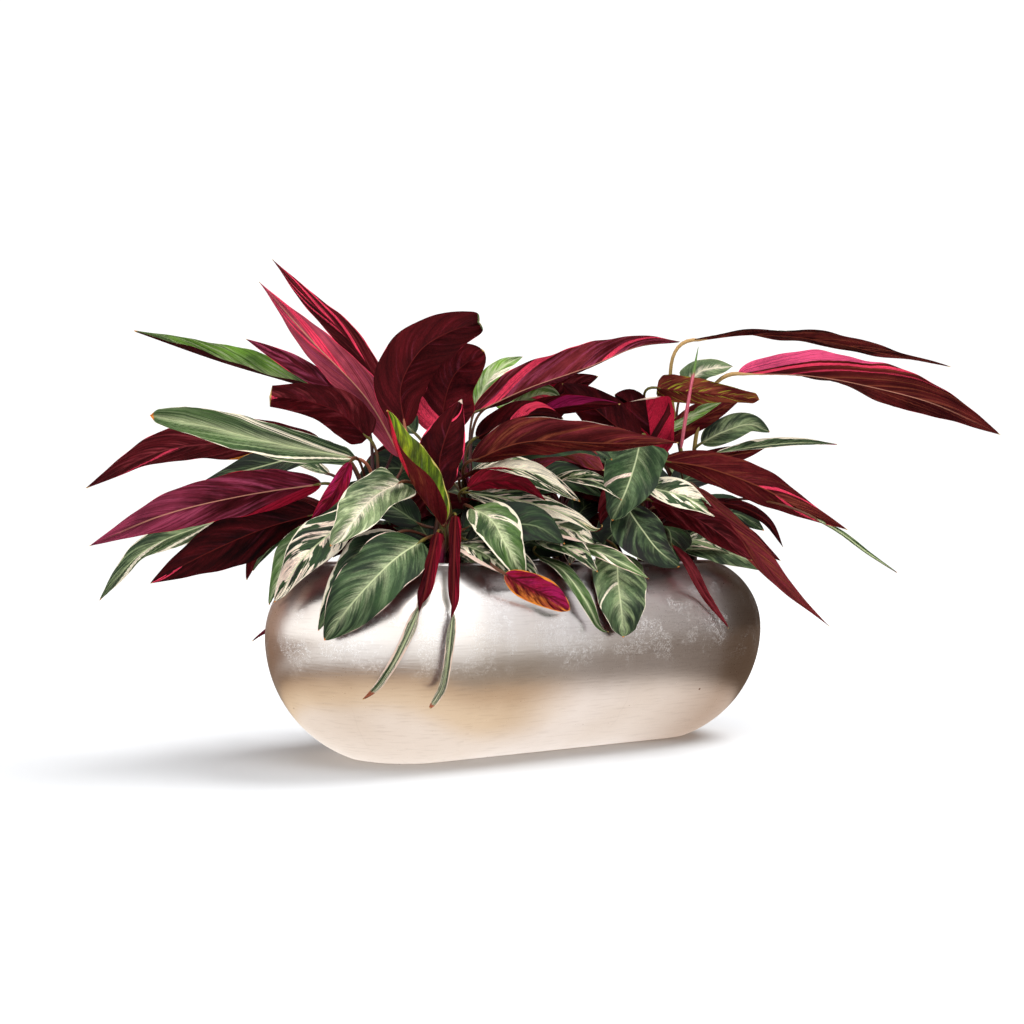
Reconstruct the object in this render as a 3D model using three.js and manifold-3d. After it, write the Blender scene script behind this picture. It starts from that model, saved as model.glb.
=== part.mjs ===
// Stromanthe triostar, a prayer plant with striped leaves, growing in an oval silver-leafed planter.
// Millimetres, +Z up. The origin is the middle of the planter's flat underside, and X runs along its length.
import * as THREE from "three";
import { mergeVertices } from "three/addons/utils/BufferGeometryUtils.js";
import ManifoldModule from "manifold-3d";

const wasm = await ManifoldModule();
wasm.setup();

// The planter: a capsule in plan, its wall bulging out from the foot to the belly and back in to the rim.
const POT_HEIGHT = 240;
const POT_HALF_WIDTH = 175; // at the belly
const HALF_CENTRELINE = 180; // from the middle to the centre of each round end
const BELLY_HEIGHT = 150;
const FOOT_INSET = 108; // how far the foot stands in from the belly
const RIM_INSET = 64; // how far the rim stands in from the belly
const WALL = 6;
const FLOOR = 8;
const POT_SIDES = 40;
const WALL_LEVELS = [12, 30, 55, 85, 118, 150, 178, 200];
const LIP_LEVELS = [229, 237];

// The soil fills the planter to a little below the rim.
const SOIL_TOP = 217;
const CLEARANCE = 0.3;

// The shoots: foot on the soil (x, y), crown (x, y, z) and foot radius.
const SHOOTS = {
  left: { foot: [-205, 40], crown: [-212, 36, 292], radius: 9 },
  front: { foot: [-165, -60], crown: [-168, -62, 330], radius: 11 },
  middle: { foot: [-95, -5], crown: [-92, -8, 315], radius: 8 },
  centre: { foot: [50, -5], crown: [52, -8, 300], radius: 8 },
  right: { foot: [155, -60], crown: [158, -62, 290], radius: 8 },
  end: { foot: [240, -45], crown: [244, -48, 300], radius: 9 },
};
const SHOOT_SIDES = 8;
const SHOOT_TAPER = [
  { along: 0, width: 1 },
  { along: 0.35, width: 0.85 },
  { along: 0.7, width: 0.7 },
  { along: 1, width: 0.45 },
];

// The leaf stalks leave their shoot along its axis and meet the blade along its midrib.
const STALK_RADIUS = 2;
const STALK_SIDES = 6;
const STALK_STEPS = 5;
const STALK_PULL = 0.3; // the curve's handles, as a share of the stalk's span

// A blade: its outline is a sine, skewed so that the widest place lies nearer the stalk.
const BLADE_THICKNESS = 1;
const WIDEST_AT = 0.4;
const BASE_ROUNDNESS = 0.7;
const BLADE_STATIONS = [0.02, 0.08, 0.18, 0.3, 0.42, 0.54, 0.66, 0.78, 0.89, 0.97];

// Each leaf: its shoot, how far up the shoot its stalk leaves, the blade's width, how pointed the tip is
// (a power: small is blunt), how far each half is folded up in degrees, the way its upper side looks, and
// the midrib's points from the stalk to the tip.
const LEAVES = [
  {
    name: "leaf_left_1", shoot: "left", height: 0.95,
    width: 52, tip: 1.0, folds: [55, 55], face: [-0.4, -0.62, 0.67],
    spine: [[-205, 115, 450], [-265, 190, 480], [-335, 280, 515], [-395, 355, 550]],
  },
  {
    name: "leaf_left_2", shoot: "left", height: 0.98,
    width: 48, tip: 1.2, folds: [8, 14], face: [0.6, 0.8, 0.1],
    spine: [[-185, 10, 370], [-215, 44, 444], [-257, 108, 519], [-295, 180, 600]],
  },
  {
    name: "leaf_left_3", shoot: "left", height: 0.9,
    width: 32, tip: 1.1, folds: [10, 14], face: [0.6, 0.8, 0.1],
    spine: [[-155, 80, 445], [-187, 138, 529], [-218, 191, 586], [-243, 248, 646]],
  },
  {
    name: "leaf_left_4", shoot: "left", height: 0.9,
    width: 56, tip: 0.5, folds: [14, 14], face: [0.6, 0.7, 0.3],
    spine: [[-222, 27, 393], [-258, 38, 424], [-294, 53, 437], [-336, 66, 440]],
  },
  {
    name: "leaf_left_5", shoot: "left", height: 0.8,
    width: 62, tip: 0.7, folds: [20, 25], face: [-0.6, -0.7, 0.4],
    spine: [[-250, 5, 365], [-327, 32, 379], [-409, 59, 398], [-480, 81, 411]],
  },
  {
    name: "leaf_left_6", shoot: "left", height: 0.7,
    width: 58, tip: 1.0, folds: [12, 35], face: [0.6, 0.7, 0.4],
    spine: [[-265, 70, 390], [-335, 145, 390], [-410, 225, 380], [-475, 315, 335]],
  },
  {
    name: "leaf_left_7", shoot: "left", height: 0.6,
    width: 44, tip: 1.0, folds: [10, 10], face: [-0.6, -0.6, 0.6],
    spine: [[-265, 45, 375], [-310, 75, 365], [-360, 100, 350], [-400, 130, 335]],
  },
  {
    name: "leaf_left_8", shoot: "left", height: 0.5,
    width: 58, tip: 1.0, folds: [10, 10], face: [0.6, 0.7, 0.3],
    spine: [[-285, 30, 335], [-375, 60, 320], [-465, 85, 295], [-545, 100, 260]],
  },
  {
    name: "leaf_left_9", shoot: "left", height: 0.4,
    width: 66, tip: 0.9, folds: [12, 12], face: [0.6, 0.7, 0.3],
    spine: [[-280, 45, 300], [-340, 80, 280], [-400, 110, 250], [-455, 145, 215]],
  },
  {
    name: "leaf_left_10", shoot: "left", height: 0.3,
    width: 50, tip: 0.9, folds: [14, 14], face: [-0.6, -0.6, 0.5],
    spine: [[-320, 120, 310], [-375, 175, 285], [-430, 240, 250], [-465, 295, 190]],
  },
  {
    name: "leaf_left_11", shoot: "left", height: 0.35,
    width: 60, tip: 0.8, folds: [8, 8], face: [-0.8, -0.5, 0.4],
    spine: [[-270, -25, 305], [-305, -30, 275], [-345, -30, 240], [-365, -5, 195]],
  },
  {
    name: "leaf_top_1", shoot: "front", height: 0.98,
    width: 70, tip: 0.5, folds: [12, 12], face: [0.4, 0.9, 0.1],
    spine: [[-195, -15, 405], [-195, -5, 455], [-170, -10, 500], [-135, -25, 525], [-95, -45, 540]],
  },
  {
    name: "leaf_top_2", shoot: "middle", height: 0.98,
    width: 84, tip: 0.5, folds: [12, 12], face: [0.4, 0.9, 0.1],
    spine: [[-129, 3, 398], [-127, 1, 439], [-111, -2, 479], [-79, -17, 506]],
  },
  {
    name: "leaf_top_3", shoot: "front", height: 0.99,
    width: 58, tip: 0.8, folds: [25, 25], face: [0.6, 0.8, 0.1],
    spine: [[-175, -75, 325], [-180, -70, 360], [-170, -75, 400], [-155, -80, 435]],
  },
  {
    name: "leaf_top_4", shoot: "front", height: 0.7,
    width: 66, tip: 0.7, folds: [60, 50], face: [0.3, -0.9, 0.4],
    spine: [[-185, -85, 285], [-215, -75, 330], [-235, -60, 375], [-240, -50, 420]],
  },
  {
    name: "leaf_top_5", shoot: "middle", height: 0.9,
    width: 66, tip: 1.0, folds: [60, 8], face: [0.6, 0.6, 0.5],
    spine: [[-80, 5, 430], [-10, -20, 465], [70, -45, 495], [140, -60, 525], [200, -75, 535]],
  },
  {
    name: "leaf_middle_1", shoot: "middle", height: 0.9,
    width: 64, tip: 1.1, folds: [16, 16], face: [0.4, 0.6, 0.7],
    spine: [[-130, -65, 364], [-87, -112, 385], [-17, -172, 385], [56, -231, 384]],
  },
  {
    name: "leaf_middle_2", shoot: "middle", height: 0.8,
    width: 44, tip: 0.8, folds: [14, 14], face: [0.4, 0.6, 0.7],
    spine: [[-100, -30, 395], [-70, -50, 415], [-35, -70, 425], [-5, -85, 420]],
  },
  {
    name: "leaf_front_1", shoot: "front", height: 0.35,
    width: 78, tip: 0.7, folds: [6, 6], face: [-0.6, -0.7, 0.3],
    spine: [[-225, -100, 265], [-280, -120, 240], [-320, -115, 200], [-345, -90, 155]],
  },
  {
    name: "leaf_front_2", shoot: "front", height: 0.2,
    width: 46, tip: 0.8, folds: [8, 8], face: [-0.8, -0.6, 0.3],
    spine: [[-235, -65, 275], [-285, -70, 250], [-320, -80, 210], [-345, -75, 165]],
  },
  {
    name: "leaf_front_3", shoot: "front", height: 0.6,
    width: 64, tip: 0.8, folds: [10, 10], face: [-0.5, -0.7, 0.6],
    spine: [[-225, -55, 335], [-270, -65, 315], [-305, -80, 285], [-335, -85, 260]],
  },
  {
    name: "leaf_front_4", shoot: "front", height: 0.3,
    width: 16, tip: 0.9, folds: [20, 20], face: [-0.8, -0.6, 0.2],
    spine: [[-205, -105, 275], [-235, -140, 245], [-260, -160, 200], [-285, -155, 145],
      [-300, -140, 110], [-310, -125, 85]],
  },
  {
    name: "leaf_front_5", shoot: "front", height: 0.5,
    width: 15, tip: 0.9, folds: [20, 20], face: [-0.4, -0.9, 0.2],
    spine: [[-180, -105, 295], [-215, -155, 245], [-230, -175, 185], [-240, -175, 115],
      [-245, -165, 90], [-260, -155, 70]],
  },
  {
    name: "leaf_front_6", shoot: "middle", height: 0.5,
    width: 56, tip: 0.7, folds: [8, 8], face: [-0.3, -0.8, 0.5],
    spine: [[-150, -95, 305], [-145, -130, 290], [-145, -160, 260], [-120, -160, 220]],
  },
  {
    name: "leaf_front_7", shoot: "middle", height: 0.15,
    width: 36, tip: 0.8, folds: [10, 10], face: [0.1, 0.9, 0.4],
    spine: [[-155, -170, 228], [-130, -180, 213], [-100, -185, 200], [-70, -190, 180]],
  },
  {
    name: "leaf_front_8", shoot: "centre", height: 0.2,
    width: 22, tip: 0.8, folds: [10, 10], face: [-0.2, -0.9, 0.3],
    spine: [[-55, -100, 247], [-55, -150, 230], [-45, -180, 195], [-25, -190, 150]],
  },
  {
    name: "leaf_front_9", shoot: "centre", height: 0.3,
    width: 72, tip: 0.7, folds: [8, 8], face: [-0.2, -0.9, 0.2],
    spine: [[45, -130, 252], [25, -155, 225], [10, -180, 190], [5, -190, 150]],
  },
  {
    name: "leaf_front_10", shoot: "centre", height: 0.35,
    width: 26, tip: 0.9, folds: [8, 8], face: [-0.1, -0.8, 0.6],
    spine: [[-10, -125, 260], [5, -155, 250], [25, -175, 235], [50, -185, 220]],
  },
  {
    name: "leaf_front_11", shoot: "right", height: 0.9,
    width: 78, tip: 0.8, folds: [8, 8], face: [-0.5, -0.8, 0.4],
    spine: [[71, -144, 389], [61, -144, 357], [45, -144, 323], [28, -141, 291]],
  },
  {
    name: "leaf_front_12", shoot: "right", height: 0.3,
    width: 60, tip: 0.7, folds: [8, 8], face: [-0.4, -0.8, 0.4],
    spine: [[64, -122, 315], [73, -141, 284], [85, -160, 257], [103, -182, 234]],
  },
  {
    name: "leaf_front_13", shoot: "middle", height: 0.6,
    width: 30, tip: 0.9, folds: [10, 10], face: [-0.3, -0.8, 0.6],
    spine: [[-130, -55, 325], [-80, -100, 315], [-35, -140, 295], [-5, -170, 265]],
  },
  {
    name: "leaf_front_14", shoot: "middle", height: 0.65,
    width: 30, tip: 1.0, folds: [14, 14], face: [0.6, 0.6, 0.5],
    spine: [[-140, -70, 330], [-120, -90, 340], [-95, -115, 335], [-70, -135, 315]],
  },
  {
    name: "leaf_front_15", shoot: "middle", height: 0.7,
    width: 38, tip: 0.8, folds: [10, 10], face: [-0.4, -0.7, 0.6],
    spine: [[-115, -40, 350], [-85, -70, 355], [-45, -100, 340], [-10, -125, 315]],
  },
  {
    name: "leaf_right_1", shoot: "right", height: 0.98,
    width: 80, tip: 0.4, folds: [14, 14], face: [0.5, 0.8, 0.2],
    spine: [[139, -89, 378], [135, -90, 402], [130, -91, 427], [125, -92, 453]],
  },
  {
    name: "leaf_right_2", shoot: "end", height: 0.98,
    width: 42, tip: 0.8, folds: [14, 14], face: [0.6, 0.6, 0.5],
    spine: [[160, -75, 470], [195, -100, 465], [235, -125, 460], [275, -150, 455]],
  },
  {
    name: "leaf_right_3", shoot: "end", height: 0.97,
    width: 52, tip: 1.0, folds: [4, 4], face: [0.05, 0.08, 1],
    spine: [[230, -70, 540], [305, -105, 550], [400, -145, 545], [490, -185, 530], [585, -220, 515]],
  },
  {
    name: "leaf_right_4", shoot: "end", height: 0.96,
    width: 70, tip: 0.9, folds: [30, 8], face: [0.6, 0.6, 0.6],
    spine: [[267, -118, 492], [330, -175, 489], [384, -230, 476], [442, -298, 449], [498, -364, 405]],
  },
  {
    name: "leaf_right_5", shoot: "end", height: 0.7,
    width: 44, tip: 0.7, folds: [10, 10], face: [-0.4, -0.8, 0.5],
    spine: [[245, -70, 400], [265, -90, 415], [295, -110, 425], [315, -130, 415]],
  },
  {
    name: "leaf_right_6", shoot: "end", height: 0.6,
    width: 26, tip: 0.9, folds: [16, 16], face: [-0.2, -0.5, 0.9],
    spine: [[245, -100, 385], [300, -125, 395], [355, -150, 400], [405, -170, 400]],
  },
  {
    name: "leaf_right_7", shoot: "right", height: 0.7,
    width: 48, tip: 1.0, folds: [12, 12], face: [0.6, 0.7, 0.4],
    spine: [[130, -120, 370], [165, -165, 360], [205, -220, 335], [230, -270, 305], [260, -315, 280]],
  },
  {
    name: "leaf_right_8", shoot: "end", height: 0.4,
    width: 30, tip: 1.3, folds: [12, 12], face: [0.8, 0.6, 0.2],
    spine: [[175, -135, 335], [210, -190, 265], [230, -245, 205], [250, -295, 160]],
  },
  {
    name: "leaf_right_9", shoot: "right", height: 0.45,
    width: 42, tip: 0.9, folds: [12, 12], face: [0.6, 0.7, 0.3],
    spine: [[150, -85, 310], [205, -110, 295], [260, -135, 270], [315, -150, 240]],
  },
  {
    name: "leaf_right_10", shoot: "right", height: 0.6,
    width: 42, tip: 0.8, folds: [10, 10], face: [-0.3, -0.8, 0.6],
    spine: [[90, -131, 335], [116, -154, 327], [139, -173, 314], [161, -190, 296]],
  },
  {
    name: "leaf_right_11", shoot: "end", height: 0.2,
    width: 42, tip: 0.8, folds: [8, 8], face: [-0.3, -0.8, 0.6],
    spine: [[180, -105, 255], [210, -130, 255], [235, -155, 245], [270, -180, 225]],
  },
  {
    name: "leaf_right_12", shoot: "right", height: 0.2,
    width: 15, tip: 0.9, folds: [12, 12], face: [0.8, 0.5, 0.2],
    spine: [[130, -140, 260], [130, -170, 235], [155, -175, 195], [185, -185, 155]],
  },
  {
    name: "leaf_rear_1", shoot: "left", height: 0.5,
    width: 60, tip: 0.8, folds: [8, 8], face: [-0.3, 0.8, 0.5],
    spine: [[-215, 105, 300], [-245, 160, 310], [-275, 205, 280], [-290, 230, 215]],
  },
  {
    name: "leaf_rear_2", shoot: "left", height: 0.3,
    width: 32, tip: 0.9, folds: [8, 8], face: [-0.3, 0.8, 0.4],
    spine: [[-165, 130, 262], [-196, 188, 241], [-220, 243, 170], [-264, 269, 131]],
  },
  {
    name: "leaf_rear_3", shoot: "middle", height: 0.6,
    width: 62, tip: 0.8, folds: [8, 8], face: [0, 0.9, 0.5],
    spine: [[-70, 90, 295], [-60, 150, 300], [-50, 205, 265], [-50, 230, 195]],
  },
  {
    name: "leaf_rear_4", shoot: "centre", height: 0.6,
    width: 60, tip: 0.8, folds: [8, 8], face: [0, 0.9, 0.5],
    spine: [[60, 80, 295], [75, 140, 295], [90, 200, 260], [95, 230, 190]],
  },
  {
    name: "leaf_rear_5", shoot: "centre", height: 0.5,
    width: 56, tip: 0.8, folds: [8, 8], face: [0.3, 0.8, 0.5],
    spine: [[110, 70, 290], [160, 120, 300], [200, 165, 275], [230, 205, 215]],
  },
  {
    name: "leaf_rear_6", shoot: "end", height: 0.5,
    width: 58, tip: 0.8, folds: [8, 8], face: [0.4, 0.8, 0.5],
    spine: [[270, 20, 285], [300, 80, 290], [330, 135, 260], [350, 170, 200]],
  },
  {
    name: "leaf_new", shoot: "end", height: 0.9,
    width: 6, tip: 0.8, folds: [5, 5], face: [-0.6, -0.8, 0.1],
    spine: [[179, -101, 389], [178, -112, 432], [180, -121, 476], [187, -126, 521]],
  },
];

const FINISHES = {
  silver: { color: 0xc9bfb4, metalness: 1, roughness: 0.32 },
  soil: { color: 0x2a1d15, metalness: 0, roughness: 1 },
  stalk: { color: 0x6a2a22, metalness: 0, roughness: 0.6 },
  maroon: { color: 0x5a1428, metalness: 0, roughness: 0.5 },
  green: { color: 0x3c6a3a, metalness: 0, roughness: 0.45 },
};

const plant = new THREE.Group();
plant.name = "stromanthe_in_planter";

function addPart(name, geometry, finish) {
  const mesh = new THREE.Mesh(geometry, new THREE.MeshStandardMaterial(FINISHES[finish]));
  mesh.name = name;
  plant.add(mesh);
}

// Joins rings of points into one closed skin, ending in a fan to the first and last point.
function loft(rings, first, last) {
  const sides = rings[0].length;
  const points = [...rings.flat(), first, last];
  const firstIndex = points.length - 2;
  const lastIndex = points.length - 1;
  const endRing = (rings.length - 1) * sides;
  const faces = [];
  for (let side = 0; side < sides; side++) {
    const next = (side + 1) % sides;
    for (let ring = 0; ring < rings.length - 1; ring++) {
      const near = ring * sides;
      const far = near + sides;
      faces.push(near + side, near + next, far + next);
      faces.push(near + side, far + next, far + side);
    }
    faces.push(firstIndex, next, side);
    faces.push(lastIndex, endRing + side, endRing + next);
  }
  const geometry = new THREE.BufferGeometry();
  geometry.setAttribute("position", new THREE.Float32BufferAttribute(points.flatMap((p) => p.toArray()), 3));
  geometry.setIndex(faces);
  return geometry;
}

function centreOf(ring) {
  const sum = new THREE.Vector3();
  ring.forEach((point) => sum.add(point));
  return sum.divideScalar(ring.length);
}

// ---- planter and soil ----

// The wall is two arcs that meet upright at the belly.
function outerRadius(z) {
  const below = z < BELLY_HEIGHT;
  const inset = below ? FOOT_INSET : RIM_INSET;
  const reach = below ? BELLY_HEIGHT : POT_HEIGHT - BELLY_HEIGHT;
  const arc = (reach ** 2 + inset ** 2) / (2 * inset);
  return POT_HALF_WIDTH - arc + Math.sqrt(arc ** 2 - (z - BELLY_HEIGHT) ** 2);
}

function capsuleRing(radius, z) {
  const ring = [];
  for (let side = 0; side < POT_SIDES; side++) {
    const angle = ((side + 0.5) / POT_SIDES) * 2 * Math.PI;
    const end = Math.sign(Math.cos(angle)) * HALF_CENTRELINE;
    ring.push(new THREE.Vector3(end + radius * Math.cos(angle), radius * Math.sin(angle), z));
  }
  return ring;
}

function planter() {
  const outside = [0, ...WALL_LEVELS, SOIL_TOP, ...LIP_LEVELS, POT_HEIGHT];
  const inside = [FLOOR, ...WALL_LEVELS.slice(1), SOIL_TOP, ...LIP_LEVELS, POT_HEIGHT];
  const rings = [
    ...outside.map((z) => capsuleRing(outerRadius(z), z)),
    ...inside.toReversed().map((z) => capsuleRing(outerRadius(z) - WALL, z)),
  ];
  return loft(rings, new THREE.Vector3(0, 0, 0), new THREE.Vector3(0, 0, FLOOR));
}

function soil() {
  const levels = [FLOOR + CLEARANCE, ...WALL_LEVELS.slice(1), SOIL_TOP];
  const rings = levels.map((z) => capsuleRing(outerRadius(z) - WALL - CLEARANCE, z));
  return loft(rings, centreOf(rings[0]), centreOf(rings.at(-1)));
}

// ---- leaves ----

function midrib(leaf) {
  return new THREE.CatmullRomCurve3(leaf.spine.map((p) => new THREE.Vector3(...p)), false, "catmullrom", 0.5);
}

function outline(along, tip) {
  const skew = Math.log(0.5) / Math.log(WIDEST_AT);
  return Math.sin(Math.PI * along ** skew) ** (along < WIDEST_AT ? BASE_ROUNDNESS : tip);
}

function blade(leaf) {
  const curve = midrib(leaf);
  const [leftFold, rightFold] = leaf.folds.map(THREE.MathUtils.degToRad);
  const rings = BLADE_STATIONS.map((along) => {
    const rib = curve.getPointAt(along);
    const forward = curve.getTangentAt(along);
    const up = new THREE.Vector3(...leaf.face).projectOnPlane(forward).normalize();
    const right = new THREE.Vector3().crossVectors(forward, up);
    const half = (leaf.width / 2) * outline(along, leaf.tip);
    const lift = up.clone().multiplyScalar(BLADE_THICKNESS / 2);
    const edge = (side, fold) => {
      const outward = right.clone().multiplyScalar(side * half * Math.cos(fold));
      return rib.clone().add(outward).addScaledVector(up, half * Math.sin(fold));
    };
    const row = [edge(-1, leftFold), rib, edge(1, rightFold)];
    return [...row.map((p) => p.clone().add(lift)), ...row.toReversed().map((p) => p.clone().sub(lift))];
  });
  return loft(rings, curve.getPointAt(0), curve.getPointAt(1));
}

// ---- shoots with their leaf stalks ----

function solid(geometry) {
  const bare = geometry.clone();
  bare.deleteAttribute("normal");
  bare.deleteAttribute("uv");
  const merged = mergeVertices(bare);
  const vertProperties = new Float32Array(merged.attributes.position.array);
  const triVerts = new Uint32Array(merged.index.array);
  return new wasm.Manifold(new wasm.Mesh({ numProp: 3, vertProperties, triVerts }));
}

function stem(shoot) {
  const foot = new THREE.Vector3(...shoot.foot, SOIL_TOP + CLEARANCE);
  const crown = new THREE.Vector3(...shoot.crown);
  const rings = SHOOT_TAPER.map(({ along, width }) => {
    const centre = foot.clone().lerp(crown, along);
    const ring = [];
    for (let side = 0; side < SHOOT_SIDES; side++) {
      const angle = (side / SHOOT_SIDES) * 2 * Math.PI;
      const offset = new THREE.Vector3(Math.cos(angle), Math.sin(angle), 0);
      ring.push(centre.clone().addScaledVector(offset, shoot.radius * width));
    }
    return ring;
  });
  return loft(rings, foot, crown);
}

function stalk(leaf) {
  const shoot = SHOOTS[leaf.shoot];
  const foot = new THREE.Vector3(...shoot.foot, SOIL_TOP + CLEARANCE);
  const crown = new THREE.Vector3(...shoot.crown);
  const curve = midrib(leaf);
  const ribStart = curve.getTangentAt(0);
  const start = foot.clone().lerp(crown, leaf.height);
  const end = curve.getPointAt(0).addScaledVector(ribStart, -CLEARANCE);
  const handle = STALK_PULL * start.distanceTo(end);
  const route = new THREE.CubicBezierCurve3(
    start,
    start.clone().addScaledVector(crown.clone().sub(foot).normalize(), handle),
    end.clone().addScaledVector(ribStart, -handle),
    end,
  );
  const section = new THREE.Shape();
  section.absarc(0, 0, STALK_RADIUS, 0, 2 * Math.PI, false);
  return new THREE.ExtrudeGeometry(section, {
    steps: STALK_STEPS,
    curveSegments: STALK_SIDES / 2, // a full arc takes two points for each
    bevelEnabled: false,
    extrudePath: route,
  });
}

function shoot(name) {
  let body = solid(stem(SHOOTS[name]));
  for (const leaf of LEAVES.filter((each) => each.shoot === name)) {
    body = body.add(solid(stalk(leaf)));
  }
  const { vertProperties, triVerts } = body.getMesh();
  const geometry = new THREE.BufferGeometry();
  geometry.setAttribute("position", new THREE.BufferAttribute(vertProperties, 3));
  geometry.setIndex(new THREE.BufferAttribute(triVerts, 1));
  return geometry;
}

addPart("planter", planter(), "silver");
addPart("soil", soil(), "soil");
for (const name of Object.keys(SHOOTS)) {
  addPart(`shoot_${name}`, shoot(name), "stalk");
}
for (const leaf of LEAVES) {
  addPart(leaf.name, blade(leaf), leaf.face[1] > 0 ? "maroon" : "green");
}

export default plant;
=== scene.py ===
"""Stromanthe triostar in an oval silver-leafed planter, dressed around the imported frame."""

import math
from collections import namedtuple

import bpy
import numpy as np
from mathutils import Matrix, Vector


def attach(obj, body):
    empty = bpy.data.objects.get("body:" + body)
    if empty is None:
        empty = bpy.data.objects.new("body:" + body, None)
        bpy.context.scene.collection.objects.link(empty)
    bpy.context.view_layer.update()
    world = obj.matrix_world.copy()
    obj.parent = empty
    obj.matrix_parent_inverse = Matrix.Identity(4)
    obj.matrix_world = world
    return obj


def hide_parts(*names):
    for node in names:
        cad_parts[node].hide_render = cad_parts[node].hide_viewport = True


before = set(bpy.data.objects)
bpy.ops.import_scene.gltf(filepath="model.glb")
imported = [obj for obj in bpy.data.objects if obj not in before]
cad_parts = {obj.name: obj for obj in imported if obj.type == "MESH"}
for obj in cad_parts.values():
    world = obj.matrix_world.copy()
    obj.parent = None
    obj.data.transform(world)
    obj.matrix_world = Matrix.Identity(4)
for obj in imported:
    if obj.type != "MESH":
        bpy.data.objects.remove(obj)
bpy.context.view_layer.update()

MM = 0.001
ROOT = "root"

# The photograph's camera, found from the planter's outline: level, a little to the left of the front.
CAMERA_PLACE = (-1.0975, -1.5003, 0.2617)
CAMERA_TURN = -35.6  # degrees round the vertical, from looking along +Y
CAMERA_LENS = 50.0
CAMERA_SENSOR = 36.0
CAMERA_SHIFT_UP = 0.0316  # the horizon lies a little below the middle

# The planter, as in the CAD.
POT_HEIGHT = 240 * MM
POT_HALF_WIDTH = 175 * MM
HALF_CENTRELINE = 180 * MM
BELLY_HEIGHT = 150 * MM
FOOT_INSET = 108 * MM
RIM_INSET = 64 * MM
WALL = 6 * MM
FLOOR = 8 * MM
SOIL_TOP = 217 * MM
CLEARANCE = 0.3 * MM

# The shoots, as in the CAD: foot (x, y), crown (x, y, z) and foot radius, in millimetres.
SHOOTS = {
    "left": ((-205, 40), (-212, 36, 292), 9),
    "front": ((-165, -60), (-168, -62, 330), 11),
    "middle": ((-95, -5), (-92, -8, 315), 8),
    "centre": ((50, -5), (52, -8, 300), 8),
    "right": ((155, -60), (158, -62, 290), 8),
    "end": ((240, -45), (244, -48, 300), 9),
}

Leaf = namedtuple("Leaf", "shoot height width tip folds face spine")


def leaves_of(prefix, table):
    """Reads a table of leaves, in millimetres and degrees. Each row has the name, the shoot, how far up the
    shoot the stalk leaves it, the width, how slim the tip is, how far the left and the right half fold up,
    the way the upper side faces, and the midrib's points."""
    leaves = {}
    for row in table.strip().splitlines():
        name, shoot, *words = row.split()
        height, width, tip, left_fold, right_fold, *numbers = map(float, words)
        face, *spine = zip(*[iter(numbers)] * 3)
        leaves[prefix + name] = Leaf(shoot, height, width, tip, (left_fold, right_fold), face, tuple(spine))
    return leaves


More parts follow.
